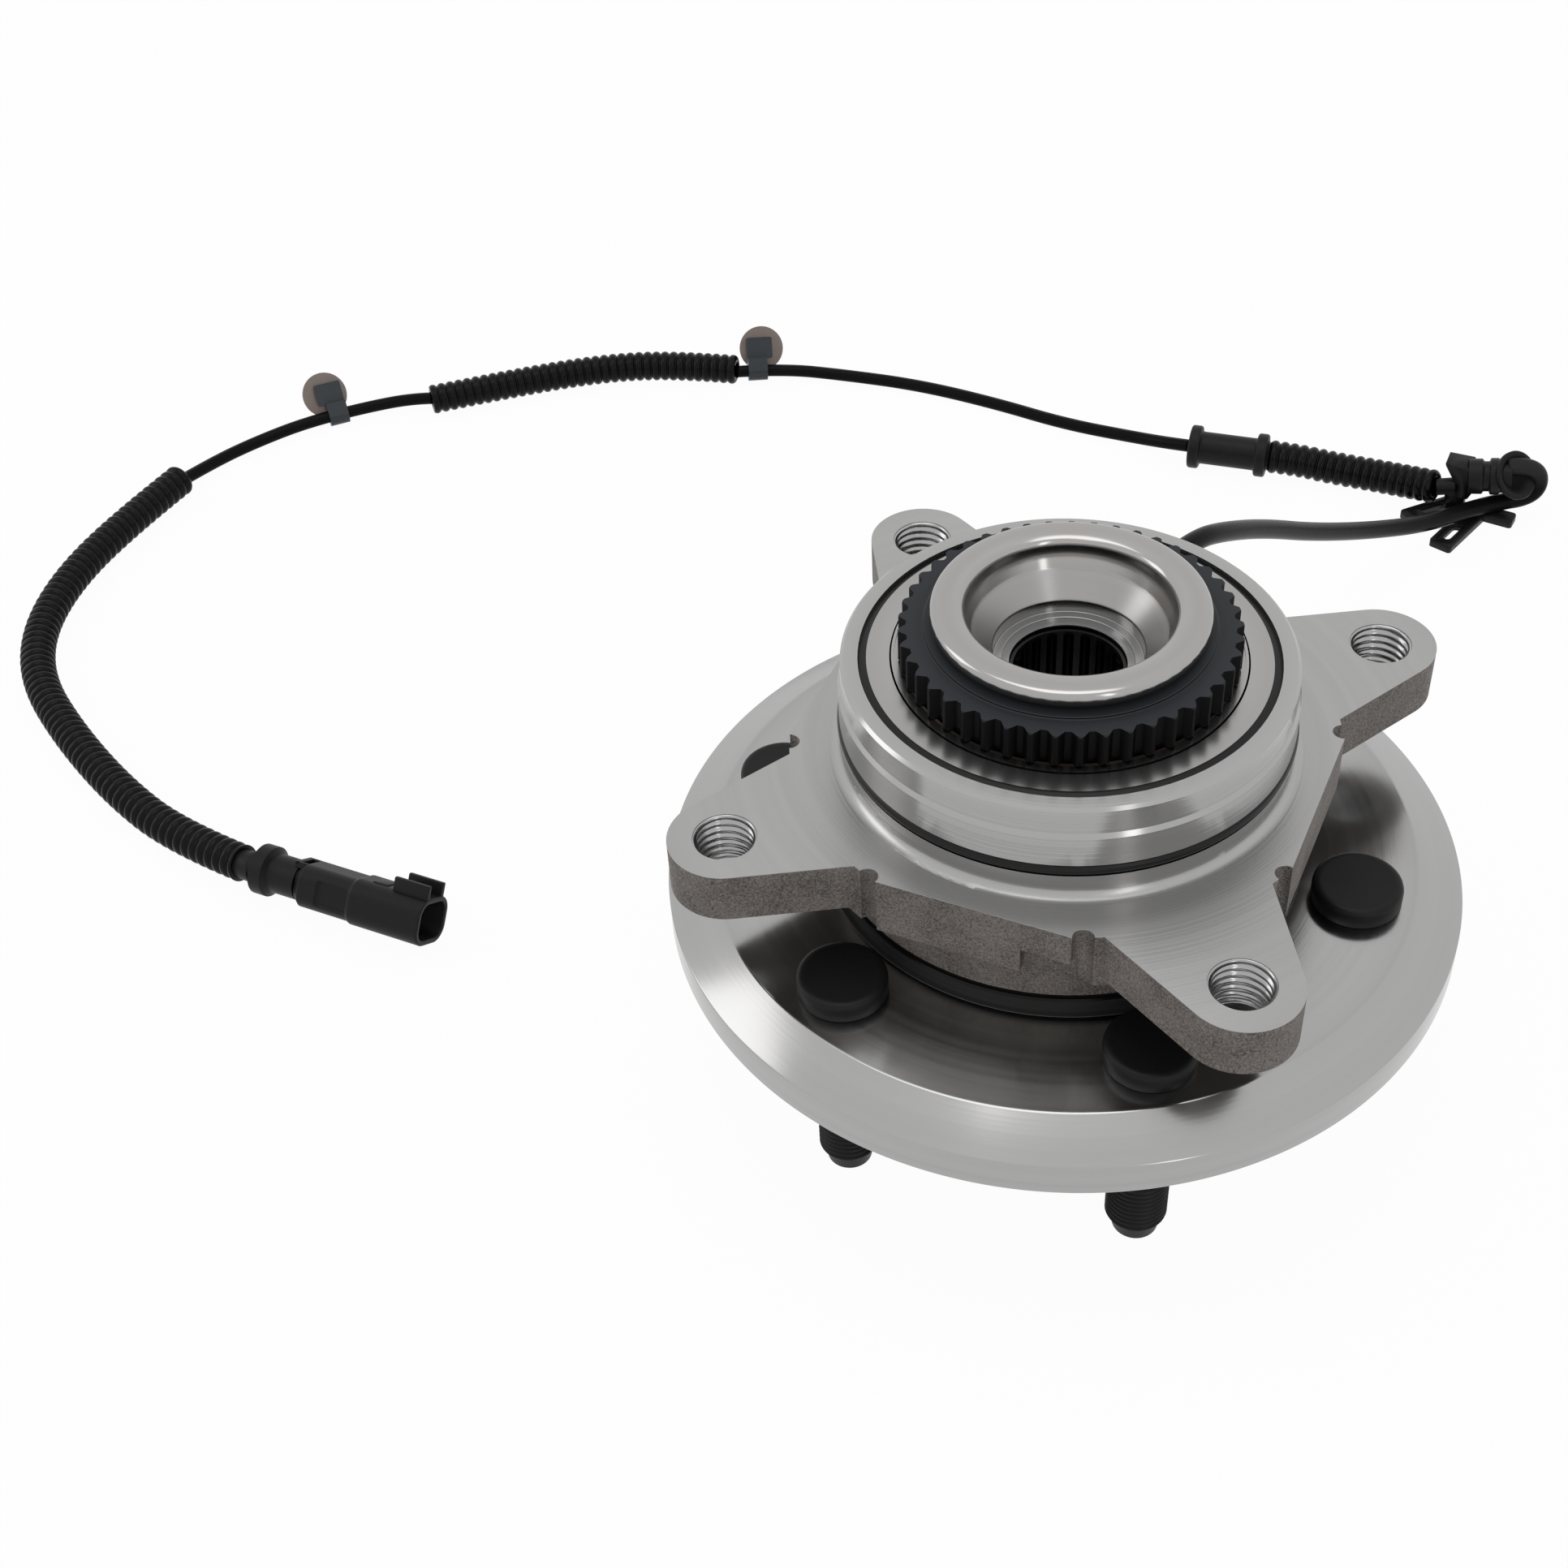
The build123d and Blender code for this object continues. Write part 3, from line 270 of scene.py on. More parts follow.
# %% [markdown]
# The sensor lead is plain round rubber. The thin cable has two cores under one jacket, with a
# shallow groove on each side.

# %% Sensor lead and two-core cable
lead_reach, cable_reach, core_groove = 0.0026, 0.002, 0.00032
groove_turn, groove_spread = radians(70), 0.3
lead_line = even_line(line_of(lead_route), 0.0008)
sensor_lead = tube("sensor_lead_jacket", lead_line, lambda along, angle: lead_reach, 36)
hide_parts("sensor_lead")
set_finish(sensor_lead, "lead_rubber")


def two_core(name, route, node):
    """A thin cable with a groove on each side between its two cores."""
    line = even_line(line_of(route), 0.001)

    def radius_at(along, angle):
        turn = (angle - groove_turn) % pi
        return cable_reach - core_groove * max(0.0, 1 - min(turn, pi - turn) / groove_spread)

    made = tube(name, line, radius_at, 36)
    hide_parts(node)
    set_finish(made, "lead_rubber")
    return made, line


harness_cable, harness_line = two_core("harness_cable_jacket", cable_route, "harness_cable")
link_cable, link_line = two_core("link_cable_jacket", link_route, "link_cable")
for piece in (sensor_lead, harness_cable, link_cable, *(c[0] for c in conduits.values())):
    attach(piece, "housing")
print("harness cable", round(1000 * length_of(harness_line), 1), "mm, link cable",
      round(1000 * length_of(link_line), 1), "mm")

# %% [markdown]
# Between the first conduit and the bare cable sits a bobbin grommet: a soft rubber reel with a
# round-edged flange at each end.

# %% Bobbin grommet
reel_line = even_line([Vector(p) / 1000 for p in (short_conduit_route[-1], cable_route[0])], 0.0001)
reel_length = length_of(reel_line)
reel_body, reel_rim, reel_flange, reel_round = 0.0051, 0.0068, 0.0036, 0.0009
reel_fillet, fillet_rise = 0.0006, 0.0004


def reel_radius(along, angle):
    """Flange radius near both ends, with round edges, and the body between them."""
    from_end = min(along, reel_length - along)
    if from_end > reel_flange:
        return reel_body + fillet_rise * max(0.0, 1 - (from_end - reel_flange) / reel_fillet) ** 2
    past_edge = max(0.0, reel_round - from_end, from_end - reel_flange + reel_round)
    return reel_rim - reel_round + (reel_round ** 2 - min(past_edge, reel_round) ** 2) ** 0.5


grommet = tube("bobbin_grommet", reel_line, reel_radius, 48)
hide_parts("cable_grommet")
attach(grommet, "housing")
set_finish(grommet, "moulding_plastic")
print("grommet", round(1000 * reel_length, 1), "mm long")

# %% [markdown]
# The wheel studs are pressed in from the drive shaft side: a low round head, a neck that the flange
# holds, a long thread and a plain point that leads the nut on. The CAD has plain cylinders, because
# the thread matters to the eye only. Here a stud is one surface of rings whose radius changes with
# the angle, which makes the thread a true helix.

# %% Threaded wheel studs
def lathe(name, rows, around, at=(0.0, 0.0), closed=False):
    """Rings about an upright axis; a row is (height, radius) or (height, function of angle)."""
    verts = []
    for height, reach in rows:
        for k in range(around):
            angle = tau * k / around
            r = reach(angle) if callable(reach) else reach
            verts.append((at[0] + r * cos(angle), at[1] + r * sin(angle), height))
    return piece_from(name, verts, ring_faces(len(rows), around, closed))


flank_gain, root_share = 2.6, 0.15


def thread(low, high, pitch, crest, root):
    """Rows of a screw thread between two heights, eight rows to a turn."""
    steps = round((high - low) / (pitch / 8))
    rows = []
    for step in range(steps + 1):
        height = low + (high - low) * step / steps

        def radius_at(angle, height=height):
            turn = (height / pitch - angle / tau) % 1.0
            wave = min(1.0, max(0.0, abs(turn - 0.5) * flank_gain - root_share))
            return root + (crest - root) * wave

        rows.append((height, radius_at))
    return rows


stud_circle, stud_turn, stud_count = 0.0675, 5.4, 6
stud_end, stud_pitch = -0.0438, 0.0015
stud_rows = [(stud_end, 0.0040), (stud_end + 0.0002, 0.0046), (stud_end + 0.0009, 0.0052),
             (stud_end + 0.0042, 0.0052), (stud_end + 0.0050, 0.0060)]
thread_low, thread_high = stud_end + 0.0054, -0.0016
stud_rows += thread(thread_low, thread_high, stud_pitch, 0.00695, 0.00615)
stud_rows += [(-0.0010, 0.0064), (0.0, 0.0066), (0.0, 0.0076), (0.0136, 0.0076),
              (0.0136, 0.0098), (0.0138, 0.0100), (0.0171, 0.0100), (0.0178, 0.0098),
              (0.0182, 0.0094), (0.0184, 0.0088), (0.01835, 0.0080), (0.0182, 0.0060),
              (0.01815, 0.0030)]
for number in range(stud_count):
    turn = radians(stud_turn + 360 / stud_count * number)
    stud = lathe("threaded_stud_%d" % (number + 1), stud_rows, 40,
                 (stud_circle * cos(turn), stud_circle * sin(turn)))
    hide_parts("wheel_stud_%d" % (number + 1))
    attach(stud, "hub")
    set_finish(stud, "stud_black")
print(stud_count, "studs,", round((thread_high - thread_low) / stud_pitch), "turns of thread each")

# %% [markdown]
# The four ears of the outer ring are tapped for the bolts that hold the unit in its knuckle. Each
# thread is a thin sleeve inside the plain hole of the CAD, under a small countersink.

# %% Tapped ears
ear_circle, ear_face, ear_depth = 0.080, 0.0449, 0.0124
tap_pitch, tap_crest, tap_root, tap_wall = 0.0020, 0.00605, 0.0069, 0.00697
tap_low, ear_count = ear_face - ear_depth + 0.0001, 4
for number in range(ear_count):
    turn = radians(45 + 360 / ear_count * number)
    rows = [(tap_low, tap_wall), (ear_face - 0.0002, tap_wall),
            (ear_face - 0.0002, tap_root), (ear_face - 0.0009, 0.0062)]
    rows += thread(tap_low, ear_face - 0.0011, tap_pitch, tap_crest, tap_root)[::-1]
    sleeve = lathe("tapped_thread_%d" % (number + 1), rows, 48,
                   (ear_circle * cos(turn), ear_circle * sin(turn)), closed=True)
    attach(sleeve, "housing")
    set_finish(sleeve, "race_steel")
print(ear_count, "tapped ears,", tap_pitch, "m pitch")

# %% [markdown]
# The rubber ring in the pilot's groove is a plain torus of round cord.

# %% Ring in the pilot groove
cord_reach, cord_at, cord_level = 0.0014, 0.04875, 0.0525
cord_rows = [(cord_level + cord_reach * sin(tau * k / 24), cord_at + cord_reach * cos(tau * k / 24))
             for k in range(24)]
pilot_ring = lathe("pilot_ring", cord_rows, 288, closed=True)
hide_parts("pilot_o_ring")
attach(pilot_ring, "housing")
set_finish(pilot_ring, "seal_rubber")
print("ring of", 2000 * cord_reach, "mm cord")

# %% [markdown]
# The hub is one forging, turned all over: the pilot that centres the wheel, the flange, the
# spindle, and the nose that was rolled outward over the coupling gear. Its outline is drawn once
# and turned about the axis. Extra points at the corners keep the bevels crisp and give the rolled
# nose its full round lip.

# %% Turned hub
def round_corner(before, corner, after, reach, steps=6):
    """Points of a smooth bend that starts and ends at the given reach from the corner."""
    a, b, c = Vector(before), Vector(corner), Vector(after)
    start = b + (a - b).normalized() * min(reach, (a - b).length * 0.49)
    end = b + (c - b).normalized() * min(reach, (c - b).length * 0.49)
    shares = [k / steps for k in range(steps + 1)]
    return [tuple(start.lerp(b, t).lerp(b.lerp(end, t), t)) for t in shares]


def turned(name, outline, around):
    """Turn a closed outline of (radius, height, corner reach) in millimetres about the axis."""
    rows = []
    for k, (radius, height, reach) in enumerate(outline):
        before, after = outline[k - 1], outline[(k + 1) % len(outline)]
        bend = [(radius, height)]
        if reach:
            bend = round_corner(before[:2], (radius, height), after[:2], reach)
        rows += [(h / 1000, r / 1000) for r, h in bend]
    return lathe(name, rows, around, closed=True)


hub_outline = [(12, 5, 0), (28, 5, 0.3), (28, -4, 0.3), (37.5, -6, 0.3), (37.5, -17, 0.3),
               (38.5, -18, 0.3), (42, -18, 0.3), (43.5, -15, 0.5), (43.5, 0, 0.3), (90.9, 0, 0.5),
               (90.9, 8.3, 0.35), (80.8, 13.6, 0.3), (53, 13.6, 0.8), (53, 16.4, 0.3),
               (37.4, 16.4, 0.2), (35.9, 17.9, 0.2), (34.07, 21.65, 0), (35.9, 22.12, 0),
               (31.27, 33.63, 0), (32.3, 33.9, 0), (32.3, 35.23, 0), (30, 35.23, 0), (30, 46.6, 0),
               (25, 46.6, 0), (25, 77.55, 0.2), (27.9, 77.55, 0.5), (29.75, 79.1, 1.4),
               (29.75, 82.4, 1.9), (22.4, 82.4, 2.6), (22.4, 78.6, 1.2), (20.9, 75.5, 0.5),
               (16.24, 70.4, 0.4), (16.24, 67.3, 0.2), (14.2, 67.3, 0.2), (14.2, 46.3, 0.1),
               (12, 46.3, 0.1)]
hub = turned("turned_hub", hub_outline, 288)
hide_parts("wheel_hub")
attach(hub, "hub")
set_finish(hub, "hub_steel")
print("turned hub,", len(hub.data.vertices), "points")

# %% [markdown]
# The coupling gear is an outside spline: the sleeve that locks the wheel to the drive shaft slides
# over it. Its teeth have straight flanks, narrow flat tips and a lead-in chamfer.

# %% Coupling gear
gear_teeth, gear_turn = 45, radians(4.6)
gear_low, gear_high, gear_boss_top = 68.95, 77.05, 77.55
gear_root, gear_tip, gear_boss, gear_bore = 34.77, 36.51, 31.1, 25.0
half_space, flank_share = 0.14, 0.28
gear_around = gear_teeth * 16


def gear_row(height, shrink):
    """One row of the spline; the shrink draws the tips in for the lead-in chamfer."""
    def radius_at(angle):
        share = ((angle - gear_turn) * gear_teeth / tau + 0.5) % 1.0
        from_space = min(share, 1.0 - share)
        flank = min(1.0, max(0.0, (from_space - half_space) / flank_share))
        reach = gear_root + (gear_tip - gear_root) * flank
        return min(reach, gear_tip - shrink) / 1000
    return height / 1000, radius_at


gear_rows = [(gear_low / 1000, gear_bore / 1000), gear_row(gear_low, 0.35),
             gear_row(gear_low + 0.35, 0.0), gear_row(gear_high - 0.3, 0.0),
             gear_row(gear_high, 0.22)]
gear_rows += [(height / 1000, radius / 1000) for height, radius in (
    (gear_high, gear_boss + 0.3), (gear_high + 0.15, gear_boss),
    (gear_boss_top - 0.1, gear_boss - 0.05), (gear_boss_top, gear_boss - 0.3),
    (gear_boss_top, gear_bore))]
gear = lathe("spline_gear", gear_rows, gear_around, closed=True)
gear.data.polygons.foreach_set("use_smooth", [False] * len(gear.data.polygons))
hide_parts("coupling_gear")
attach(gear, "hub")
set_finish(gear, "gear_black")
print("coupling gear,", gear_teeth, "teeth")

# %% [markdown]
# The connector is a two-way housing with round corners, and lies rolled over on its corner. One
# side has a shallow panel, and the rear a chamfer. A skin of rings along its axis can have both:
# each ring is a rounded rectangle, inset more or less, and the panel is pushed in where it lies.

# %% Connector housing
shell_at = Vector((-0.194, -0.0391, 0.0))
shell_turn, shell_length, shell_step_at = radians(35), 0.0396, 0.018
shell_half, shell_corner, shell_wall = (0.0073, 0.0063), 0.0046, 0.0014
ground = -0.0438
shell_at.z = (ground + shell_corner + (shell_half[0] - shell_corner) * sin(shell_turn)
              + (shell_half[1] - shell_corner) * cos(shell_turn))
shell_side = Vector((0, cos(shell_turn), -sin(shell_turn)))
shell_up = Vector((0, sin(shell_turn), cos(shell_turn)))


def on_shell(along, across, up):
    return shell_at + Vector((along, 0, 0)) + shell_side * across + shell_up * up


def rounded_outline(half, corner, inset, count):
    """Even points round a rectangle with round corners, all drawn in by the inset."""
    a, b, r = half[0] - corner, half[1] - corner, corner - inset
    quarter = count // 4
    arc = quarter * 5 // 8
    outline = []
    for sx, sy, start in ((1, 1, 0.0), (-1, 1, pi / 2), (-1, -1, pi), (1, -1, 1.5 * pi)):
        for k in range(arc):
            angle = start + pi / 2 * k / (arc - 1)
            outline.append((sx * a + r * cos(angle), sy * b + r * sin(angle)))
        here = outline[-1]
        turn = start + pi / 2
        onto = (-sx * a, sy * b) if start in (0.0, pi) else (sx * a, -sy * b)
        there = (onto[0] + r * cos(turn), onto[1] + r * sin(turn))
        for k in range(1, quarter - arc + 1):
            outline.append(tuple(Vector(here).lerp(Vector(there), k / (quarter - arc + 1))))
    return outline


print("housing frame at", tuple(round(c, 4) for c in shell_at))

# %% Panel in the side of the housing
panel_sunk = 0.0007


def soft_step(value, low, high):
    """0 to 1 as the value passes from low to high, without a corner."""
    share = min(1.0, max(0.0, (value - low) / (high - low)))
    return share * share * (3 - 2 * share)


def panel_depth(along, across, up):
    """How far the side panel is pushed in at a point of the housing's skin."""
    if across > -shell_corner:
        return 0.0
    inside = (soft_step(along, 0.0080, 0.0084) * (1 - soft_step(along, 0.0172, 0.0175))
              * soft_step(up, -0.0035, -0.0031) * (1 - soft_step(up, 0.0028, 0.0032)))
    return panel_sunk * inside


print("panel", 1000 * panel_sunk, "mm deep")

# %% [markdown]
# The run along the axis has short steps where the skin changes and at the mouth, and then turns
# back inside, a wall's thickness further in.

# %% Skin of the housing
shell_count = 160
outer_run = [(0.0, 0.0030), (0.0002, 0.0027), (0.0024, 0.0008), (0.0028, 0.0005)]
outer_run += [(0.0028 + 0.0002 * k, 0.0005) for k in range(1, 75)]
outer_run += [(shell_step_at, 0.0004), (shell_step_at + 0.0003, 0.0001)]
outer_run += [(shell_step_at + 0.0007 + 0.0005 * k, 0.0) for k in range(41)]
outer_run += [(shell_length - 0.0003, 0.0), (shell_length - 0.0001, 0.0001), (shell_length, 0.0003)]
inner_run = [(shell_length, shell_wall - 0.0003), (shell_length - 0.0001, shell_wall - 0.0001),
             (shell_length - 0.0004, shell_wall), (shell_length - 0.018, shell_wall)]
verts = []
for along, inset in outer_run + inner_run:
    for across, up in rounded_outline(shell_half, shell_corner, inset, shell_count):
        verts.append(on_shell(along, across + panel_depth(along, across, up), up))
rings = len(outer_run) + len(inner_run)
shell = piece_from("connector_housing", verts, ring_faces(rings, shell_count))
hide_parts("connector_shell")
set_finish(shell, "moulding_plastic")
print("connector housing,", len(verts), "points")

# %% [markdown]
# Two rails, a latch pad and a small loop stand on the upper side.

# %% Rails and latch loop of the connector
bar_edge = 0.0003


def bar(name, low, high):
    """A block in the housing's leaning frame, with rounded edges."""
    verts = [on_shell(*corner) for corner in product(*zip(low, high))]
    faces = [(0, 1, 3, 2), (4, 6, 7, 5), (0, 4, 5, 1), (2, 3, 7, 6), (0, 2, 6, 4), (1, 5, 7, 3)]
    made = piece_from(name, verts, faces)
    rounding = made.modifiers.new("edges", "BEVEL")
    rounding.width, rounding.segments, rounding.limit_method = bar_edge, 3, "ANGLE"
    return made


rail_half, rail_thick, rail_top = 0.0042, 0.0014, 0.0098
trim = [("connector_rail_1", (0.0290, -rail_half, 0.0058),
         (0.0394, -rail_half + rail_thick, rail_top)),
        ("connector_rail_2", (0.0290, rail_half - rail_thick, 0.0058),
         (0.0394, rail_half, rail_top)),
        ("connector_latch_pad", (0.0222, -0.0030, 0.0054), (0.0268, 0.0026, 0.0066)),
        ("connector_loop_side_1", (-0.0010, -0.0036, 0.0040), (0.0030, -0.0026, 0.0058)),
        ("connector_loop_side_2", (-0.0010, 0.0026, 0.0040), (0.0030, 0.0036, 0.0058)),
        ("connector_loop_top", (-0.0012, -0.0036, 0.0048), (0.0004, 0.0036, 0.0058))]
for name, low, high in trim:
    part = bar(name, low, high)
    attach(part, "housing")
    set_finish(part, "moulding_plastic")
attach(shell, "housing")

# %% [markdown]
# The bracket is a small moulding that turns the lead into the first conduit. It has a round dish
# that the lead dives into, a waisted barrel, an arrow-shaped block and two slotted legs that clip
# to the chassis. Its simple parts are merged into one piece, as they are one moulding.

# %% Cable bracket
def merge(name, parts):
    """One piece from several."""
    verts, faces = [], []
    for part in parts:
        start = len(verts)
        verts += [v.co.copy() for v in part.data.vertices]
        faces += [tuple(start + i for i in face.vertices) for face in part.data.polygons]
        bpy.data.objects.remove(part)
    return piece_from(name, verts, faces)


leg_thick = 0.0024


def leg(middle, turn, length, width, slot_shift, slot=True):
    """A flat leg on the ground, with square ends and a slot."""
    count, low, high = 64, ground, ground + leg_thick
    outer = rounded_outline((length / 2, width / 2), 0.001, 0.0, count)
    hole = [(x + slot_shift, y) for x, y in rounded_outline((0.0045, 0.0013), 0.00125, 0.0, count)]
    spin = radians(turn)
    verts = []
    rows = [(outer, low), (outer, high - 0.0003), ([(x * 0.985, y * 0.95) for x, y in outer], high)]
    if slot:
        rows += [(hole, high), (hole, low)]
    for outline, z in rows:
        verts += [(middle[0] + x * cos(spin) - y * sin(spin),
                   middle[1] + x * sin(spin) + y * cos(spin), z) for x, y in outline]
    return piece_from("leg", verts, ring_faces(len(rows), count, closed=slot))


def prism(outline, y_low, y_high, edge):
    """An outline in x and z, drawn out along y, with its rims drawn in by the edge."""
    count = len(outline)
    mid = (sum(x for x, z in outline) / count, sum(z for x, z in outline) / count)
    small = [(x + (mid[0] - x) * edge, z + (mid[1] - z) * edge) for x, z in outline]
    rise = 0.0006
    rows = [(small, y_low), (outline, y_low + rise), (outline, y_high - rise), (small, y_high)]
    verts = [(x, y, z) for loop, y in rows for x, z in loop]
    return piece_from("prism", verts, ring_faces(len(rows), count), smooth=False)


def flared(start, end, radius_at):
    """A round barrel between two points."""
    line = [start.lerp(end, k / 48) for k in range(49)]
    return tube("flared", line, radius_at, 40)


print("bracket parts ready")

# %% [markdown]
# The dish leans toward the lead. Its barrel is full at the block, and has a waist and a collar.

# %% Dish and barrel
dish_centre = Vector((0.0637, 0.2411, -0.0280))
dish_out = Vector((0.66, -0.43, 0.62)).normalized()
dish_rows = [(-0.0040, 0.0046), (-0.0026, 0.0050), (-0.0020, 0.0068), (-0.0014, 0.0074),
             (-0.0004, 0.0075), (0.0, 0.0071), (-0.0002, 0.0062), (-0.0010, 0.0044),
             (-0.0022, 0.0036), (-0.0026, 0.0010)]
dish = lathe("dish", dish_rows, 56)
lean = Vector((0, 0, 1)).rotation_difference(dish_out)
for vertex in dish.data.vertices:
    vertex.co = dish_centre + lean @ vertex.co
block_end = Vector((0.0495, 0.2400, -0.0312))
dish_back = dish_centre - dish_out * 0.0030


def waist(along, angle):
    """Radius of the barrel at a distance from the block."""
    shape = [(0.0, 0.0054), (0.0040, 0.0054), (0.0045, 0.0046), (0.0060, 0.0046), (0.0064, 0.0056),
             (0.0086, 0.0056), (0.0094, 0.0050), (0.03, 0.0050)]
    for (a, ra), (b, rb) in zip(shape, shape[1:]):
        if along <= b:
            return ra + (rb - ra) * (along - a) / (b - a)
    return shape[-1][1]


print("dish of", len(dish.data.vertices), "points")

# %% [markdown]
# A short round spigot goes into the first conduit. The block stands on the ground on a plain foot,
# and the legs lie beside it at the angles that the photograph shows.

# %% Merge the bracket
arrow = [(0.0424, -0.0266), (0.0500, -0.0266), (0.0532, -0.0318), (0.0506, -0.0378),
         (0.0436, -0.0378), (0.0458, -0.0322)]
bracket = merge("bracket_moulding", [
    prism(arrow, 0.2368, 0.2446, 0.06), flared(block_end, dish_back, waist), dish,
    flared(Vector((0.0409, 0.2371, -0.0354)), Vector((0.0462, 0.2384, -0.0345)),
           lambda along, angle: lead_reach),
    prism([(0.0436, -0.0372), (0.0496, -0.0372), (0.0496, ground), (0.0436, ground)],
          0.2382, 0.2438, 0.04),
    leg((0.0416, 0.2348), 47, 0.0200, 0.0072, 0.0),
    leg((0.0506, 0.2282), 73, 0.0230, 0.0072, -0.0040),
    leg((0.0585, 0.2386), -6, 0.0140, 0.0054, 0.0, slot=False)])
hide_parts("cable_bracket")
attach(bracket, "housing")
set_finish(bracket, "moulding_plastic")
print("bracket,", len(bracket.data.vertices), "points")

# %% [markdown]
# The short conduit is a sleeve five diameters long, and goes with the lead as the bracket does.


print("harness and bracket ready")

# %% [markdown]
# The studio is a white surface under a large pale sky. The camera and shiny metal see the
# background as white, while the surface still keeps a soft shadow under the flange.

# %% Studio surface
def place(tree, kind, **settings):
    """Add a shader node and set its plain properties."""
    node = tree.nodes.new(kind)
    for key, value in settings.items():
        setattr(node, key, value)
    return node


def join(tree, source, target):
    """Link a node's output to another's input; each is (node, socket name or number)."""
    tree.links.new(source[0].outputs[source[1]], target[0].inputs[target[1]])


def sum_of(tree, operation, a, b):
    """A Math node of two inputs, each a number or a (node, socket) pair."""
    node = place(tree, "ShaderNodeMath", operation=operation)
    for number, value in enumerate((a, b)):
        if isinstance(value, tuple):
            join(tree, value, (node, number))
        else:
            node.inputs[number].default_value = value
    return node, 0


def white_behind(tree, shown, white, output, share):
    """Show camera, glossy and transmission rays a white shader, by a share, over the other."""
    rays = place(tree, "ShaderNodeLightPath")
    seen = rays, "Is Camera Ray"
    for label in ("Is Glossy Ray", "Is Transmission Ray"):
        seen = sum_of(tree, "MAXIMUM", seen, (rays, label))
    blend = place(tree, "ShaderNodeMixShader")
    join(tree, sum_of(tree, "MULTIPLY", seen, share), (blend, 0))
    join(tree, (shown, 0), (blend, 1))
    join(tree, (white, 0), (blend, 2))
    join(tree, (blend, 0), (output, "Surface"))


floor_level = -0.0439
floor = piece_from("studio_surface", [(-4, -4, floor_level), (4, -4, floor_level),
                                      (4, 4, floor_level), (-4, 4, floor_level)], [(0, 1, 2, 3)])
paper = bpy.data.materials.new("white_paper")
paper.use_nodes = True
tree = paper.node_tree
matt = tree.nodes["Principled BSDF"]
matt.inputs["Base Color"].default_value = (0.9, 0.9, 0.9, 1)
matt.inputs["Roughness"].default_value = 0.9
white_behind(tree, matt, place(tree, "ShaderNodeEmission"), tree.nodes["Material Output"], 0.96)
floor.data.materials.append(paper)
print("white surface at", floor_level, "m")

# %% [markdown]
# Steel has almost no colour of its own, so what it reflects matters more than the lamps. The sky is
# an even pale grey up to mid height and darker overhead, which keeps level faces calm.

# %% Sky
sky = bpy.data.worlds.new("studio_sky")
studio.world = sky
sky.use_nodes = True
tree = sky.node_tree
white = tree.nodes["Background"]
white.inputs["Color"].default_value = (1, 1, 1, 1)
room = place(tree, "ShaderNodeBackground")
direction = place(tree, "ShaderNodeTexCoord")
axes = place(tree, "ShaderNodeSeparateXYZ")
shade = place(tree, "ShaderNodeValToRGB")
shade.color_ramp.elements.new(0.45)
greys = ((0.72, 0.72, 0.72, 1), (0.70, 0.70, 0.71, 1), (0.50, 0.50, 0.51, 1))
for stop, grey in zip(shade.color_ramp.elements, greys):
    stop.color = grey
join(tree, (direction, "Generated"), (axes, 0))
join(tree, (axes, "Z"), (shade, 0))
join(tree, (shade, 0), (room, "Color"))
white_behind(tree, room, white, tree.nodes["World Output"], 1.0)
print("sky ready")

# %% [markdown]
# Three soft boxes stay low in power: they only give the bands and the shadow.

# %% Soft boxes
def soft_box(name, place_at, size, watts):
    """An area lamp that looks at the unit's middle."""
    lamp = bpy.data.lights.new(name, "AREA")
    lamp.shape = "RECTANGLE"
    lamp.size, lamp.size_y = size
    lamp.energy = watts
    box = bpy.data.objects.new(name, lamp)
    studio.collection.objects.link(box)
    box.location = place_at
    box.rotation_mode = "QUATERNION"
    box.rotation_quaternion = (aim - Vector(place_at)).to_track_quat("-Z", "Y")


aim = Vector((0, 0, 0.03))
soft_box("left_box", (-1.2, -0.3, 0.7), (0.5, 0.9), 2.2)
soft_box("right_box", (0.9, -0.8, 0.6), (0.16, 0.9), 0.9)
soft_box("top_box", (-0.1, 0.1, 1.5), (0.9, 0.9), 3.8)
print("3 soft boxes")

# %% [markdown]
# Effects that several finishes share are small node groups. They read Object coordinates, which
# are real places in metres, as each piece sits at the frame's origin: the distance from the
# wheel's axis gives turned rings, and the height tells one surface from the next.

# %% Node group helpers
def new_group(name, inputs, outputs):
    group = bpy.data.node_groups.new(name, "ShaderNodeTree")
    for label, kind, value in inputs:
        socket = group.interface.new_socket(name=label, in_out="INPUT", socket_type=kind)
        socket.default_value = value
    for label, kind in outputs:
        group.interface.new_socket(name=label, in_out="OUTPUT", socket_type=kind)
    return group, place(group, "NodeGroupInput"), place(group, "NodeGroupOutput")


def on_object(tree, kind, **inputs):
    """A texture that reads Object coordinates, with its own inputs set."""
    node, where = place(tree, kind), place(tree, "ShaderNodeTexCoord")
    join(tree, (where, "Object"), (node, "Vector"))
    for label, value in inputs.items():
        node.inputs[label].default_value = value
    return node


def from_axis(tree):
    """Radius from the wheel's axis and height of the shaded point, in metres."""
    where = place(tree, "ShaderNodeTexCoord")
    axes = place(tree, "ShaderNodeSeparateXYZ")
    join(tree, (where, "Object"), (axes, 0))
    flat = place(tree, "ShaderNodeCombineXYZ")
    join(tree, (axes, "X"), (flat, "X"))
    join(tree, (axes, "Y"), (flat, "Y"))
    reach = place(tree, "ShaderNodeVectorMath", operation="LENGTH")
    join(tree, (flat, 0), (reach, 0))
    return (reach, "Value"), (axes, "Z")


print("group helpers ready")

# %% Turning marks and zones
FLOAT = "NodeSocketFloat"

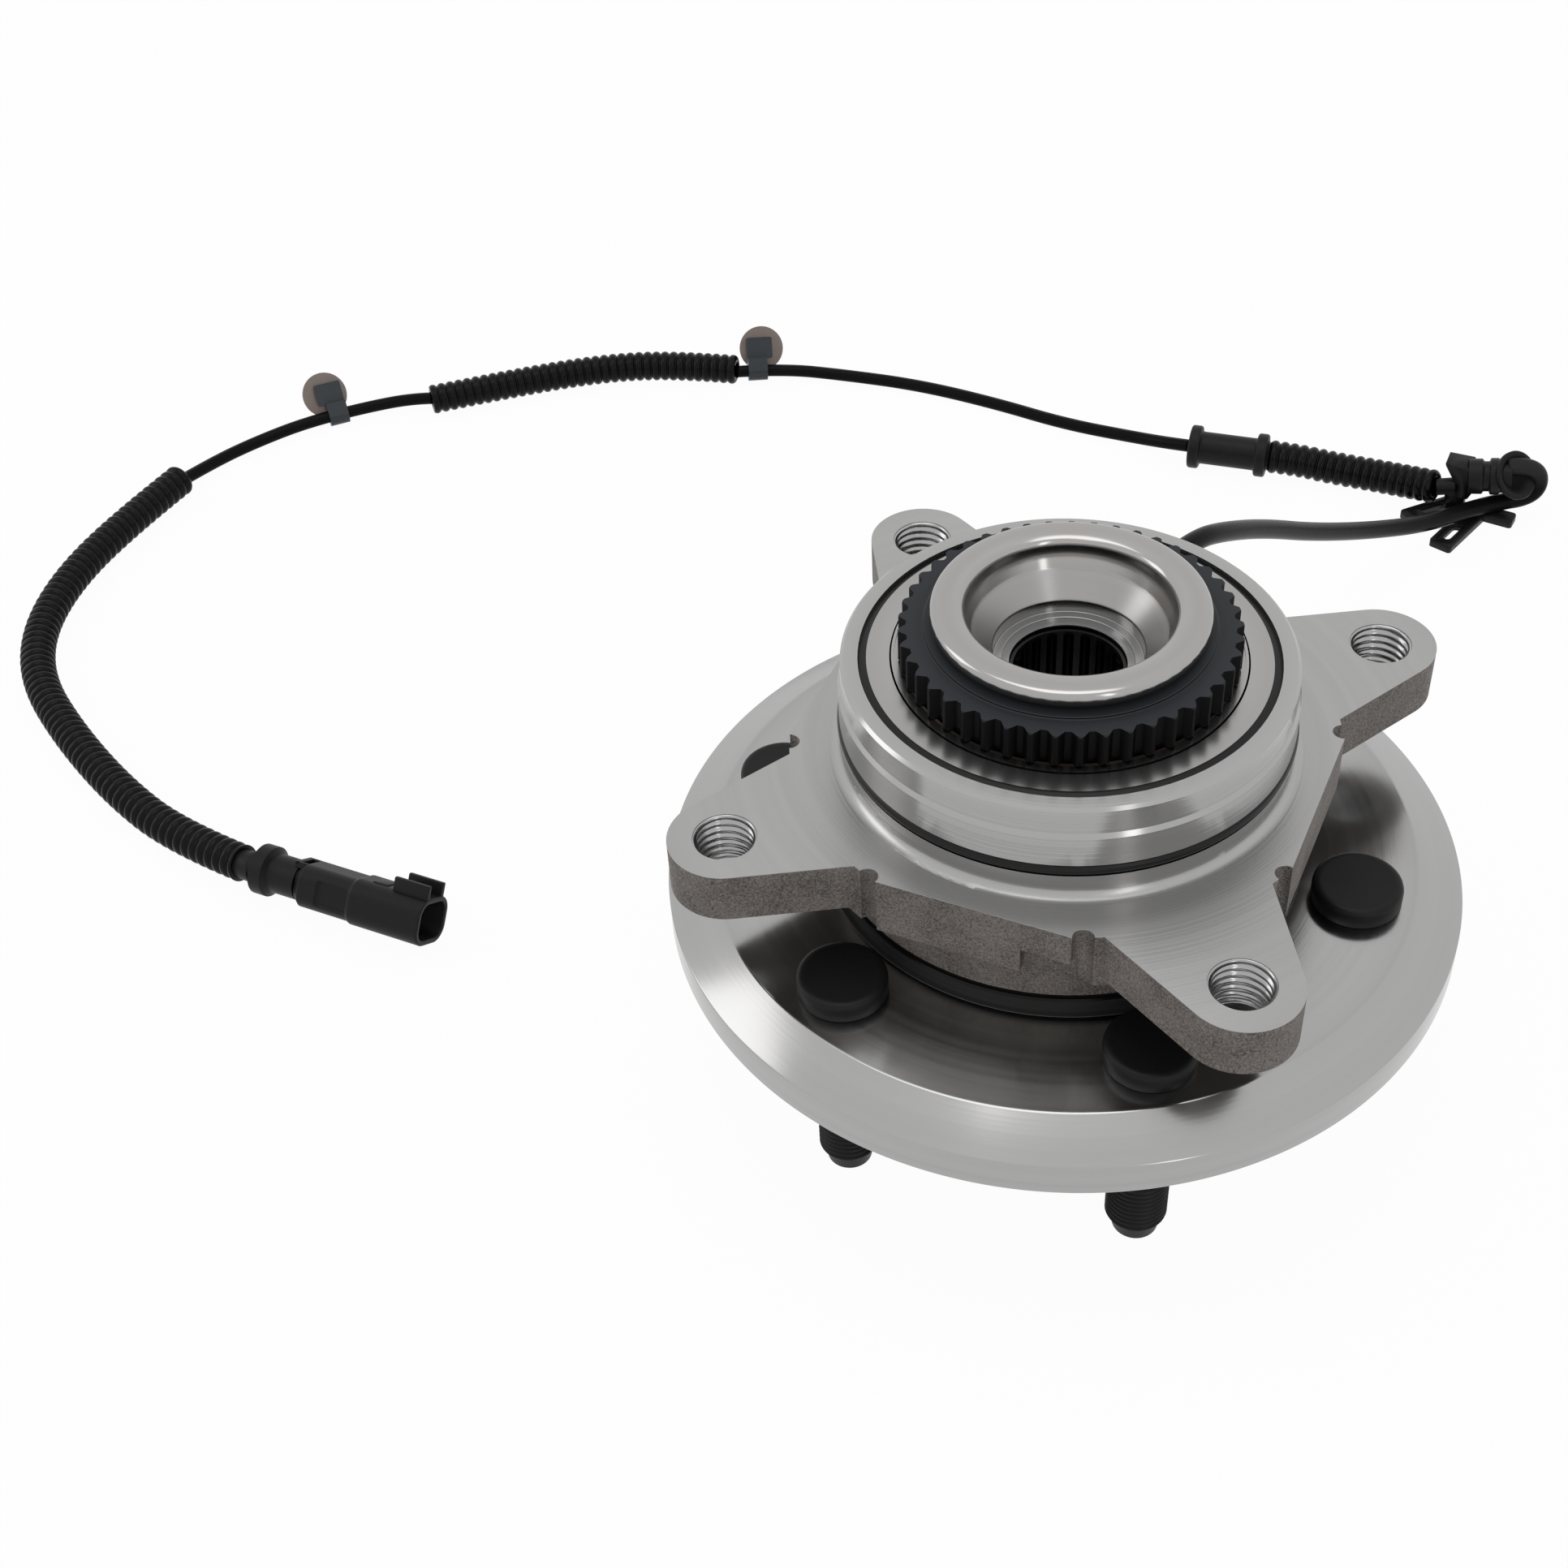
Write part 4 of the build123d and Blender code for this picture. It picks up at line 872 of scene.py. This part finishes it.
turning_marks, enter, leave = new_group(
    "turning_marks", [("Rings per metre", FLOAT, 2500.0)], [("Height", FLOAT), ("Shade", FLOAT)])
radius, height = from_axis(turning_marks)
profile = sum_of(turning_marks, "ADD", radius, height)
for rings, label in ((1.0, "Height"), (0.11, "Shade")):
    scaled = sum_of(turning_marks, "MULTIPLY", (enter, "Rings per metre"), rings)
    marks = place(turning_marks, "ShaderNodeTexNoise", noise_dimensions="1D")
    marks.inputs["Scale"].default_value = 1.0
    marks.inputs["Detail"].default_value = 3.0
    join(turning_marks, sum_of(turning_marks, "MULTIPLY", profile, scaled), (marks, "W"))
    join(turning_marks, (marks, 0), (leave, label))

zone, enter, leave = new_group(
    "zone", [("Inner", FLOAT, 0.0), ("Outer", FLOAT, 0.1), ("Low", FLOAT, -0.1),
             ("High", FLOAT, 0.1), ("Softness", FLOAT, 0.0004)], [("Mask", FLOAT)])
radius, height = from_axis(zone)


def ramp_up(tree, value, edge, softness, sign):
    """0 to 1 as value passes an edge, over the given softness; sign -1 turns it round."""
    past = sum_of(tree, "SUBTRACT", *((value, edge) if sign > 0 else (edge, value)))
    share = sum_of(tree, "DIVIDE", past, softness)
    share[0].use_clamp = True
    return share


mask = None
for value, label, sign in ((radius, "Inner", 1), (radius, "Outer", -1),
                           (height, "Low", 1), (height, "High", -1)):
    side = ramp_up(zone, value, (enter, label), (enter, "Softness"), sign)
    mask = side if mask is None else sum_of(zone, "MULTIPLY", mask, side)
join(zone, mask, (leave, "Mask"))
print("marks and zones ready")

# %% [markdown]
# Specks are thinly spread spots in patches, for rust. The cast skin is a fine grain over a cloud.

# %% Specks and cast skin
specks, enter, leave = new_group(
    "specks", [("Scale", FLOAT, 900.0), ("Amount", FLOAT, 0.12)], [("Mask", FLOAT)])
cells = on_object(specks, "ShaderNodeTexVoronoi")
join(specks, (enter, "Scale"), (cells, "Scale"))
patches = on_object(specks, "ShaderNodeTexNoise", Scale=60.0)
near = sum_of(specks, "LESS_THAN", (cells, "Distance"), (enter, "Amount"))
thin = sum_of(specks, "GREATER_THAN", (patches, 0), 0.5)
join(specks, sum_of(specks, "MULTIPLY", near, thin), (leave, "Mask"))

cast_skin, enter, leave = new_group(
    "cast_skin", [("Grain", FLOAT, 1300.0)], [("Height", FLOAT), ("Shade", FLOAT)])
grain = on_object(cast_skin, "ShaderNodeTexNoise", Detail=6.0, Roughness=0.7)
join(cast_skin, (enter, "Grain"), (grain, "Scale"))
cloud = on_object(cast_skin, "ShaderNodeTexNoise", Scale=90.0, Detail=4.0)
join(cast_skin, (grain, 0), (leave, "Height"))
fine = sum_of(cast_skin, "MULTIPLY", (grain, 0), 0.78)
join(cast_skin, sum_of(cast_skin, "ADD", fine, sum_of(cast_skin, "MULTIPLY", (cloud, 0), 0.22)),
     (leave, "Shade"))
print("4 shader groups")

# %% Finish helpers
finishes = {}


def new_finish(name, colour, roughness, metallic=0.0, **extra):
    """A material with its Principled shader's plain values set, kept under its slot's name."""
    finish = bpy.data.materials.new(name)
    finish.use_nodes = True
    shader = finish.node_tree.nodes["Principled BSDF"]
    shader.inputs["Base Color"].default_value = (*colour, 1)
    shader.inputs["Roughness"].default_value = roughness
    shader.inputs["Metallic"].default_value = metallic
    for label, value in extra.items():
        shader.inputs[label.replace("_", " ")].default_value = value
    finishes[name] = finish
    return finish.node_tree, shader


def use_group(tree, group, **values):
    node = place(tree, "ShaderNodeGroup", node_tree=group)
    for label, value in values.items():
        node.inputs[label.replace("_", " ")].default_value = value
    return node


def mix_colour(tree, share, first, second):
    """Mix two colours, each an RGB tuple, a socket or a (node, socket) pair, by a share."""
    node = place(tree, "ShaderNodeMix", data_type="RGBA")
    for slot, value in ((6, first), (7, second)):
        if isinstance(value, bpy.types.NodeSocket):
            tree.links.new(value, node.inputs[slot])
        elif isinstance(value[0], float):
            node.inputs[slot].default_value = (*value, 1)
        else:
            join(tree, value, (node, slot))
    join(tree, share, (node, 0))
    return node, 2


def span(tree, value, low, high):
    """Map 0..1 to low..high."""
    node = place(tree, "ShaderNodeMapRange")
    node.inputs["To Min"].default_value = low
    node.inputs["To Max"].default_value = high
    join(tree, value, (node, "Value"))
    return node, 0


def bump(tree, shader, height, strength, distance):
    node = place(tree, "ShaderNodeBump")
    node.inputs["Strength"].default_value = strength
    node.inputs["Distance"].default_value = distance
    join(tree, height, (node, "Height"))
    join(tree, (node, 0), (shader, "Normal"))


def radial_grain(tree, shader, amount):
    """Turned metal stretches its highlights across the tool marks."""
    tangent = place(tree, "ShaderNodeTangent", direction_type="RADIAL", axis="Z")
    shader.inputs["Anisotropic"].default_value = amount
    shader.inputs["Anisotropic Rotation"].default_value = 0.25
    join(tree, (tangent, 0), (shader, "Tangent"))


def zone_mask(tree, **where):
    """Mask of the places between two radii and two heights, with soft edges."""
    return use_group(tree, zone, **where), "Mask"


def recolour(tree, shader, colour, **where):
    """Give one zone of a finish another colour over the colour that it has."""
    under = shader.inputs["Base Color"].links[0].from_socket
    join(tree, mix_colour(tree, zone_mask(tree, **where), under, colour), (shader, "Base Color"))


def dull(tree, shader, mask):
    """Take the shine from a masked zone: no metal, and much rougher."""
    node = place(tree, "ShaderNodeMath", operation="ADD")
    tree.links.new(shader.inputs["Roughness"].links[0].from_socket, node.inputs[0])
    join(tree, sum_of(tree, "MULTIPLY", mask, 0.5), (node, 1))
    join(tree, (node, 0), (shader, "Roughness"))
    join(tree, sum_of(tree, "SUBTRACT", 1.0, mask), (shader, "Metallic"))


print("finish helpers ready")

# %% [markdown]
# Fine rings run round the hub, its polished recess has painted shade, and the rolled nose has a
# faint straw tint from the heat of forming. The boss that faces the seal has painted shade under the
# skirt, and is dull.

# %% Hub steel
tree, shader = new_finish("hub_steel", (0.50, 0.49, 0.48), 0.3, 1.0, Specular_IOR_Level=0.04)
radial_grain(tree, shader, 0.6)
marks = use_group(tree, turning_marks, Rings_per_metre=2200.0)
steel = mix_colour(tree, (marks, "Shade"), (0.34, 0.338, 0.335), (0.43, 0.427, 0.424))
nose = zone_mask(tree, Inner=0.0, Outer=0.031, Low=0.068, High=0.09, Softness=0.001)
tint = on_object(tree, "ShaderNodeTexNoise", Scale=45.0)
warm = sum_of(tree, "MULTIPLY", span(tree, (tint, 0), -0.6, 1.3), nose)
coloured = mix_colour(tree, warm, steel, (0.375, 0.355, 0.34))
# Painted shade in the nose's recess: its colour goes a quarter of the way to dark grey.
recess = zone_mask(tree, Inner=0.0, Outer=0.0218, Low=0.060, High=0.0795, Softness=0.001)
recess_shaded = mix_colour(tree, sum_of(tree, "MULTIPLY", recess, 0.25), coloured, (0.24, 0.24, 0.24))
# Painted shade under the skirt: the boss and the inner ring of the flange face go near black, and
# dull() takes their shine.
boss_shade = zone_mask(tree, Inner=0.03, Outer=0.0549, Low=0.0130, High=0.03, Softness=0.0003)
shaded = mix_colour(tree, sum_of(tree, "MULTIPLY", boss_shade, 0.92), recess_shaded, (0.006, 0.0055, 0.005))
join(tree, shaded, (shader, "Base Color"))
cone = zone_mask(tree, Inner=0.0, Outer=0.0212, Low=0.0702, High=0.0758, Softness=0.0003)
grain = span(tree, (marks, "Shade"), 0.12, 0.24)
join(tree, sum_of(tree, "ADD", grain, sum_of(tree, "MULTIPLY", cone, 0.16)), (shader, "Roughness"))
dull(tree, shader, boss_shade)
bump(tree, shader, (marks, "Height"), 0.2, 0.00003)
print("hub steel made")

# %% [markdown]
# The outer ring is forged and then machined only where it fits something. Its top face and barrel
# are turned bright, and the sides and underside of the ears keep the rough grey-brown skin.

# %% Outer ring steel
tree, shader = new_finish("ring_steel", (0.5, 0.5, 0.49), 0.35, 1.0)
radial_grain(tree, shader, 0.75)
marks = use_group(tree, turning_marks, Rings_per_metre=1500.0)
skin = use_group(tree, cast_skin, Grain=2000.0)
bright = mix_colour(tree, (marks, "Shade"), (0.35, 0.347, 0.344), (0.42, 0.417, 0.414))
rough = mix_colour(tree, span(tree, (skin, "Shade"), -1.5, 2.6),
                   (0.036, 0.031, 0.028), (0.235, 0.21, 0.19))
rust = use_group(tree, specks, Scale=420.0, Amount=0.16)
rough = mix_colour(tree, sum_of(tree, "MULTIPLY", (rust, "Mask"), 0.55), rough, (0.26, 0.17, 0.10))
raw = zone_mask(tree, Inner=0.0505, Outer=0.2, Low=0.01, High=0.04482, Softness=0.0001)
join(tree, mix_colour(tree, raw, bright, rough), (shader, "Base Color"))
barrel = zone_mask(tree, Inner=0.04, Outer=0.0506, Low=0.0462, High=0.1, Softness=0.0006)
satin = span(tree, barrel, 0.30, 0.2)
join(tree, sum_of(tree, "ADD", satin, sum_of(tree, "MULTIPLY", raw, 0.3)), (shader, "Roughness"))
join(tree, span(tree, raw, 1.0, 0.35), (shader, "Metallic"))
mixed = place(tree, "ShaderNodeMix", data_type="FLOAT")
join(tree, raw, (mixed, 0))
join(tree, sum_of(tree, "MULTIPLY", (marks, "Height"), 0.1), (mixed, 2))
join(tree, (skin, "Height"), (mixed, 3))
bump(tree, shader, (mixed, 0), 0.5, 0.0005)
print("ring steel made")

# %% Other metals
def plain_metal(name, dark, light, roughness, rings=900.0, anisotropic=0.0):
    tree, shader = new_finish(name, light, roughness, 1.0, Specular_IOR_Level=0.04)
    marks = use_group(tree, turning_marks, Rings_per_metre=rings)
    join(tree, mix_colour(tree, (marks, "Shade"), dark, light), (shader, "Base Color"))
    satin = span(tree, (marks, "Shade"), roughness * 0.8, roughness * 1.2)
    join(tree, satin, (shader, "Roughness"))
    if anisotropic:
        radial_grain(tree, shader, anisotropic)
    return tree, shader


tree, shader = plain_metal("race_steel", (0.32, 0.32, 0.32), (0.42, 0.42, 0.42), 0.2, 1800.0, 0.3)
# Painted shade on the race's rib under the gear's teeth: near black, with a brown tint.
recolour(tree, shader, (0.012, 0.009, 0.007), Inner=0.0330, Outer=0.0374, Low=0.0660,
         High=0.0693, Softness=0.0003)
# Painted shade deep in the bore: the needle rollers go near black.
recolour(tree, shader, (0.010, 0.010, 0.010), Inner=0.0, Outer=0.0150, Low=0.03, High=0.0662,
         Softness=0.0002)
tree, shader = plain_metal("seal_steel", (0.30, 0.295, 0.29), (0.40, 0.395, 0.39), 0.2, 1300.0, 0.3)
# Painted shade below the skirt: the seal case goes near black, and dull() takes its shine.
under_skirt_shade = dict(Inner=0.0, Outer=0.2, Low=-0.1, High=0.03, Softness=0.001)
recolour(tree, shader, (0.006, 0.0055, 0.005), **under_skirt_shade)
dull(tree, shader, zone_mask(tree, **under_skirt_shade))
plain_metal("cage_steel", (0.02, 0.02, 0.02), (0.06, 0.06, 0.06), 0.4)
plain_metal("screw_steel", (0.30, 0.30, 0.27), (0.48, 0.47, 0.42), 0.35)
plain_metal("pin_brass", (0.45, 0.42, 0.32), (0.66, 0.62, 0.48), 0.3)
print("5 metals made")

# %% [markdown]
# The gear and the studs are black oxide on steel: nearly black, with a low shine. The gear's flanks
# have painted shade: they are much darker than its level face.

# %% Black metals
tree, shader = new_finish("gear_black", (0.02, 0.022, 0.025), 0.36, 0.0, Specular_IOR_Level=0.14)
marks = use_group(tree, turning_marks, Rings_per_metre=1100.0)
flat = mix_colour(tree, (marks, "Shade"), (0.016, 0.018, 0.020), (0.034, 0.037, 0.043))
# Painted shade: faces that turn sideways, the tooth flanks, take a near black colour, and the level
# face keeps the lighter one.
facing = place(tree, "ShaderNodeNewGeometry")
upright = place(tree, "ShaderNodeSeparateXYZ")
join(tree, (facing, "Normal"), (upright, 0))
lit_top_share = ramp_up(tree, (upright, "Z"), 0.3, 0.5, 1)
join(tree, mix_colour(tree, lit_top_share, (0.0012, 0.0012, 0.0014), flat), (shader, "Base Color"))
join(tree, span(tree, (marks, "Shade"), 0.34, 0.5), (shader, "Roughness"))
bump(tree, shader, (marks, "Height"), 0.3, 0.00006)

tree, shader = new_finish("stud_black", (0.006, 0.006, 0.007), 0.42, 0.0, Specular_IOR_Level=0.18)
skin = use_group(tree, cast_skin, Grain=2200.0)
join(tree, mix_colour(tree, (skin, "Shade"), (0.002, 0.002, 0.0025), (0.011, 0.011, 0.012)),
     (shader, "Base Color"))
join(tree, span(tree, (skin, "Shade"), 0.36, 0.5), (shader, "Roughness"))
bump(tree, shader, (skin, "Height"), 0.25, 0.00006)
print("2 black metals made")

# %% [markdown]
# Rubber and plastic are near black with a fine grain. The table gives the dark and light tone, the
# roughness, the grain, the depth of the grain and the shine of each.

# %% Rubber and plastic
mouldings = {
    "seal_rubber": ((0.002, 0.002, 0.002), (0.009, 0.009, 0.009), 0.32, 1500.0, 3e-5, 0.22),
    "lead_rubber": ((0.002, 0.002, 0.002), (0.009, 0.009, 0.009), 0.26, 900.0, 2e-5, 0.05),
    "conduit_plastic": ((0.001, 0.001, 0.0012), (0.005, 0.005, 0.0055), 0.26, 1100.0, 3e-5, 0.12),
    "moulding_plastic": ((0.003, 0.003, 0.0035), (0.013, 0.013, 0.014), 0.42, 1600.0, 5e-5, 0.16),
    "clip_plastic": ((0.026, 0.031, 0.036), (0.046, 0.054, 0.062), 0.3, 800.0, 2e-5, 0.22),
    "sensor_plastic": ((0.003, 0.003, 0.0035), (0.012, 0.012, 0.013), 0.3, 1200.0, 2e-5, 0.22)}
for name, (dark, light, roughness, grain, depth, shine) in mouldings.items():
    tree, shader = new_finish(name, light, roughness, 0.0, Specular_IOR_Level=shine)
    skin = use_group(tree, cast_skin, Grain=grain)
    join(tree, mix_colour(tree, (skin, "Shade"), dark, light), (shader, "Base Color"))
    satin = span(tree, (skin, "Shade"), roughness * 0.85, roughness * 1.2)
    join(tree, satin, (shader, "Roughness"))
    bump(tree, shader, (skin, "Height"), 0.3, depth)
    if name == "lead_rubber":
        # Painted highlight: the lead's fold by the bracket is a lighter grey.
        recolour(tree, shader, (0.030, 0.030, 0.031), Inner=0.2345, Outer=0.4, Low=-0.0335,
                 High=-0.01, Softness=0.006)

tree, shader = new_finish("disc_rubber", (0.26, 0.2, 0.18), 0.32, 0.0, Transmission_Weight=0.4,
                          IOR=1.45)
skin = use_group(tree, cast_skin, Grain=500.0)
join(tree, mix_colour(tree, (skin, "Shade"), (0.20, 0.155, 0.135), (0.34, 0.27, 0.24)),
     (shader, "Base Color"))
print(len(mouldings), "mouldings and the disc rubber made")

# %% [markdown]
# Each CAD node takes the finish of its slot in the record, and each piece made here takes its own.

# %% Dress the CAD nodes
slot_of = {part["node"]: part["material_slot"] for part in frame["record"]["subparts"]}
for name, node in nodes.items():
    node.data.materials.clear()
    node.data.materials.append(finishes[slot_of[name]])
for piece in list(bpy.data.objects):
    if piece.get("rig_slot"):
        piece.data.materials.clear()
        piece.data.materials.append(finishes[piece["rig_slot"]])
print(len(nodes), "nodes dressed")

# %% [markdown]

# %% Update the view layer
bpy.context.view_layer.update()
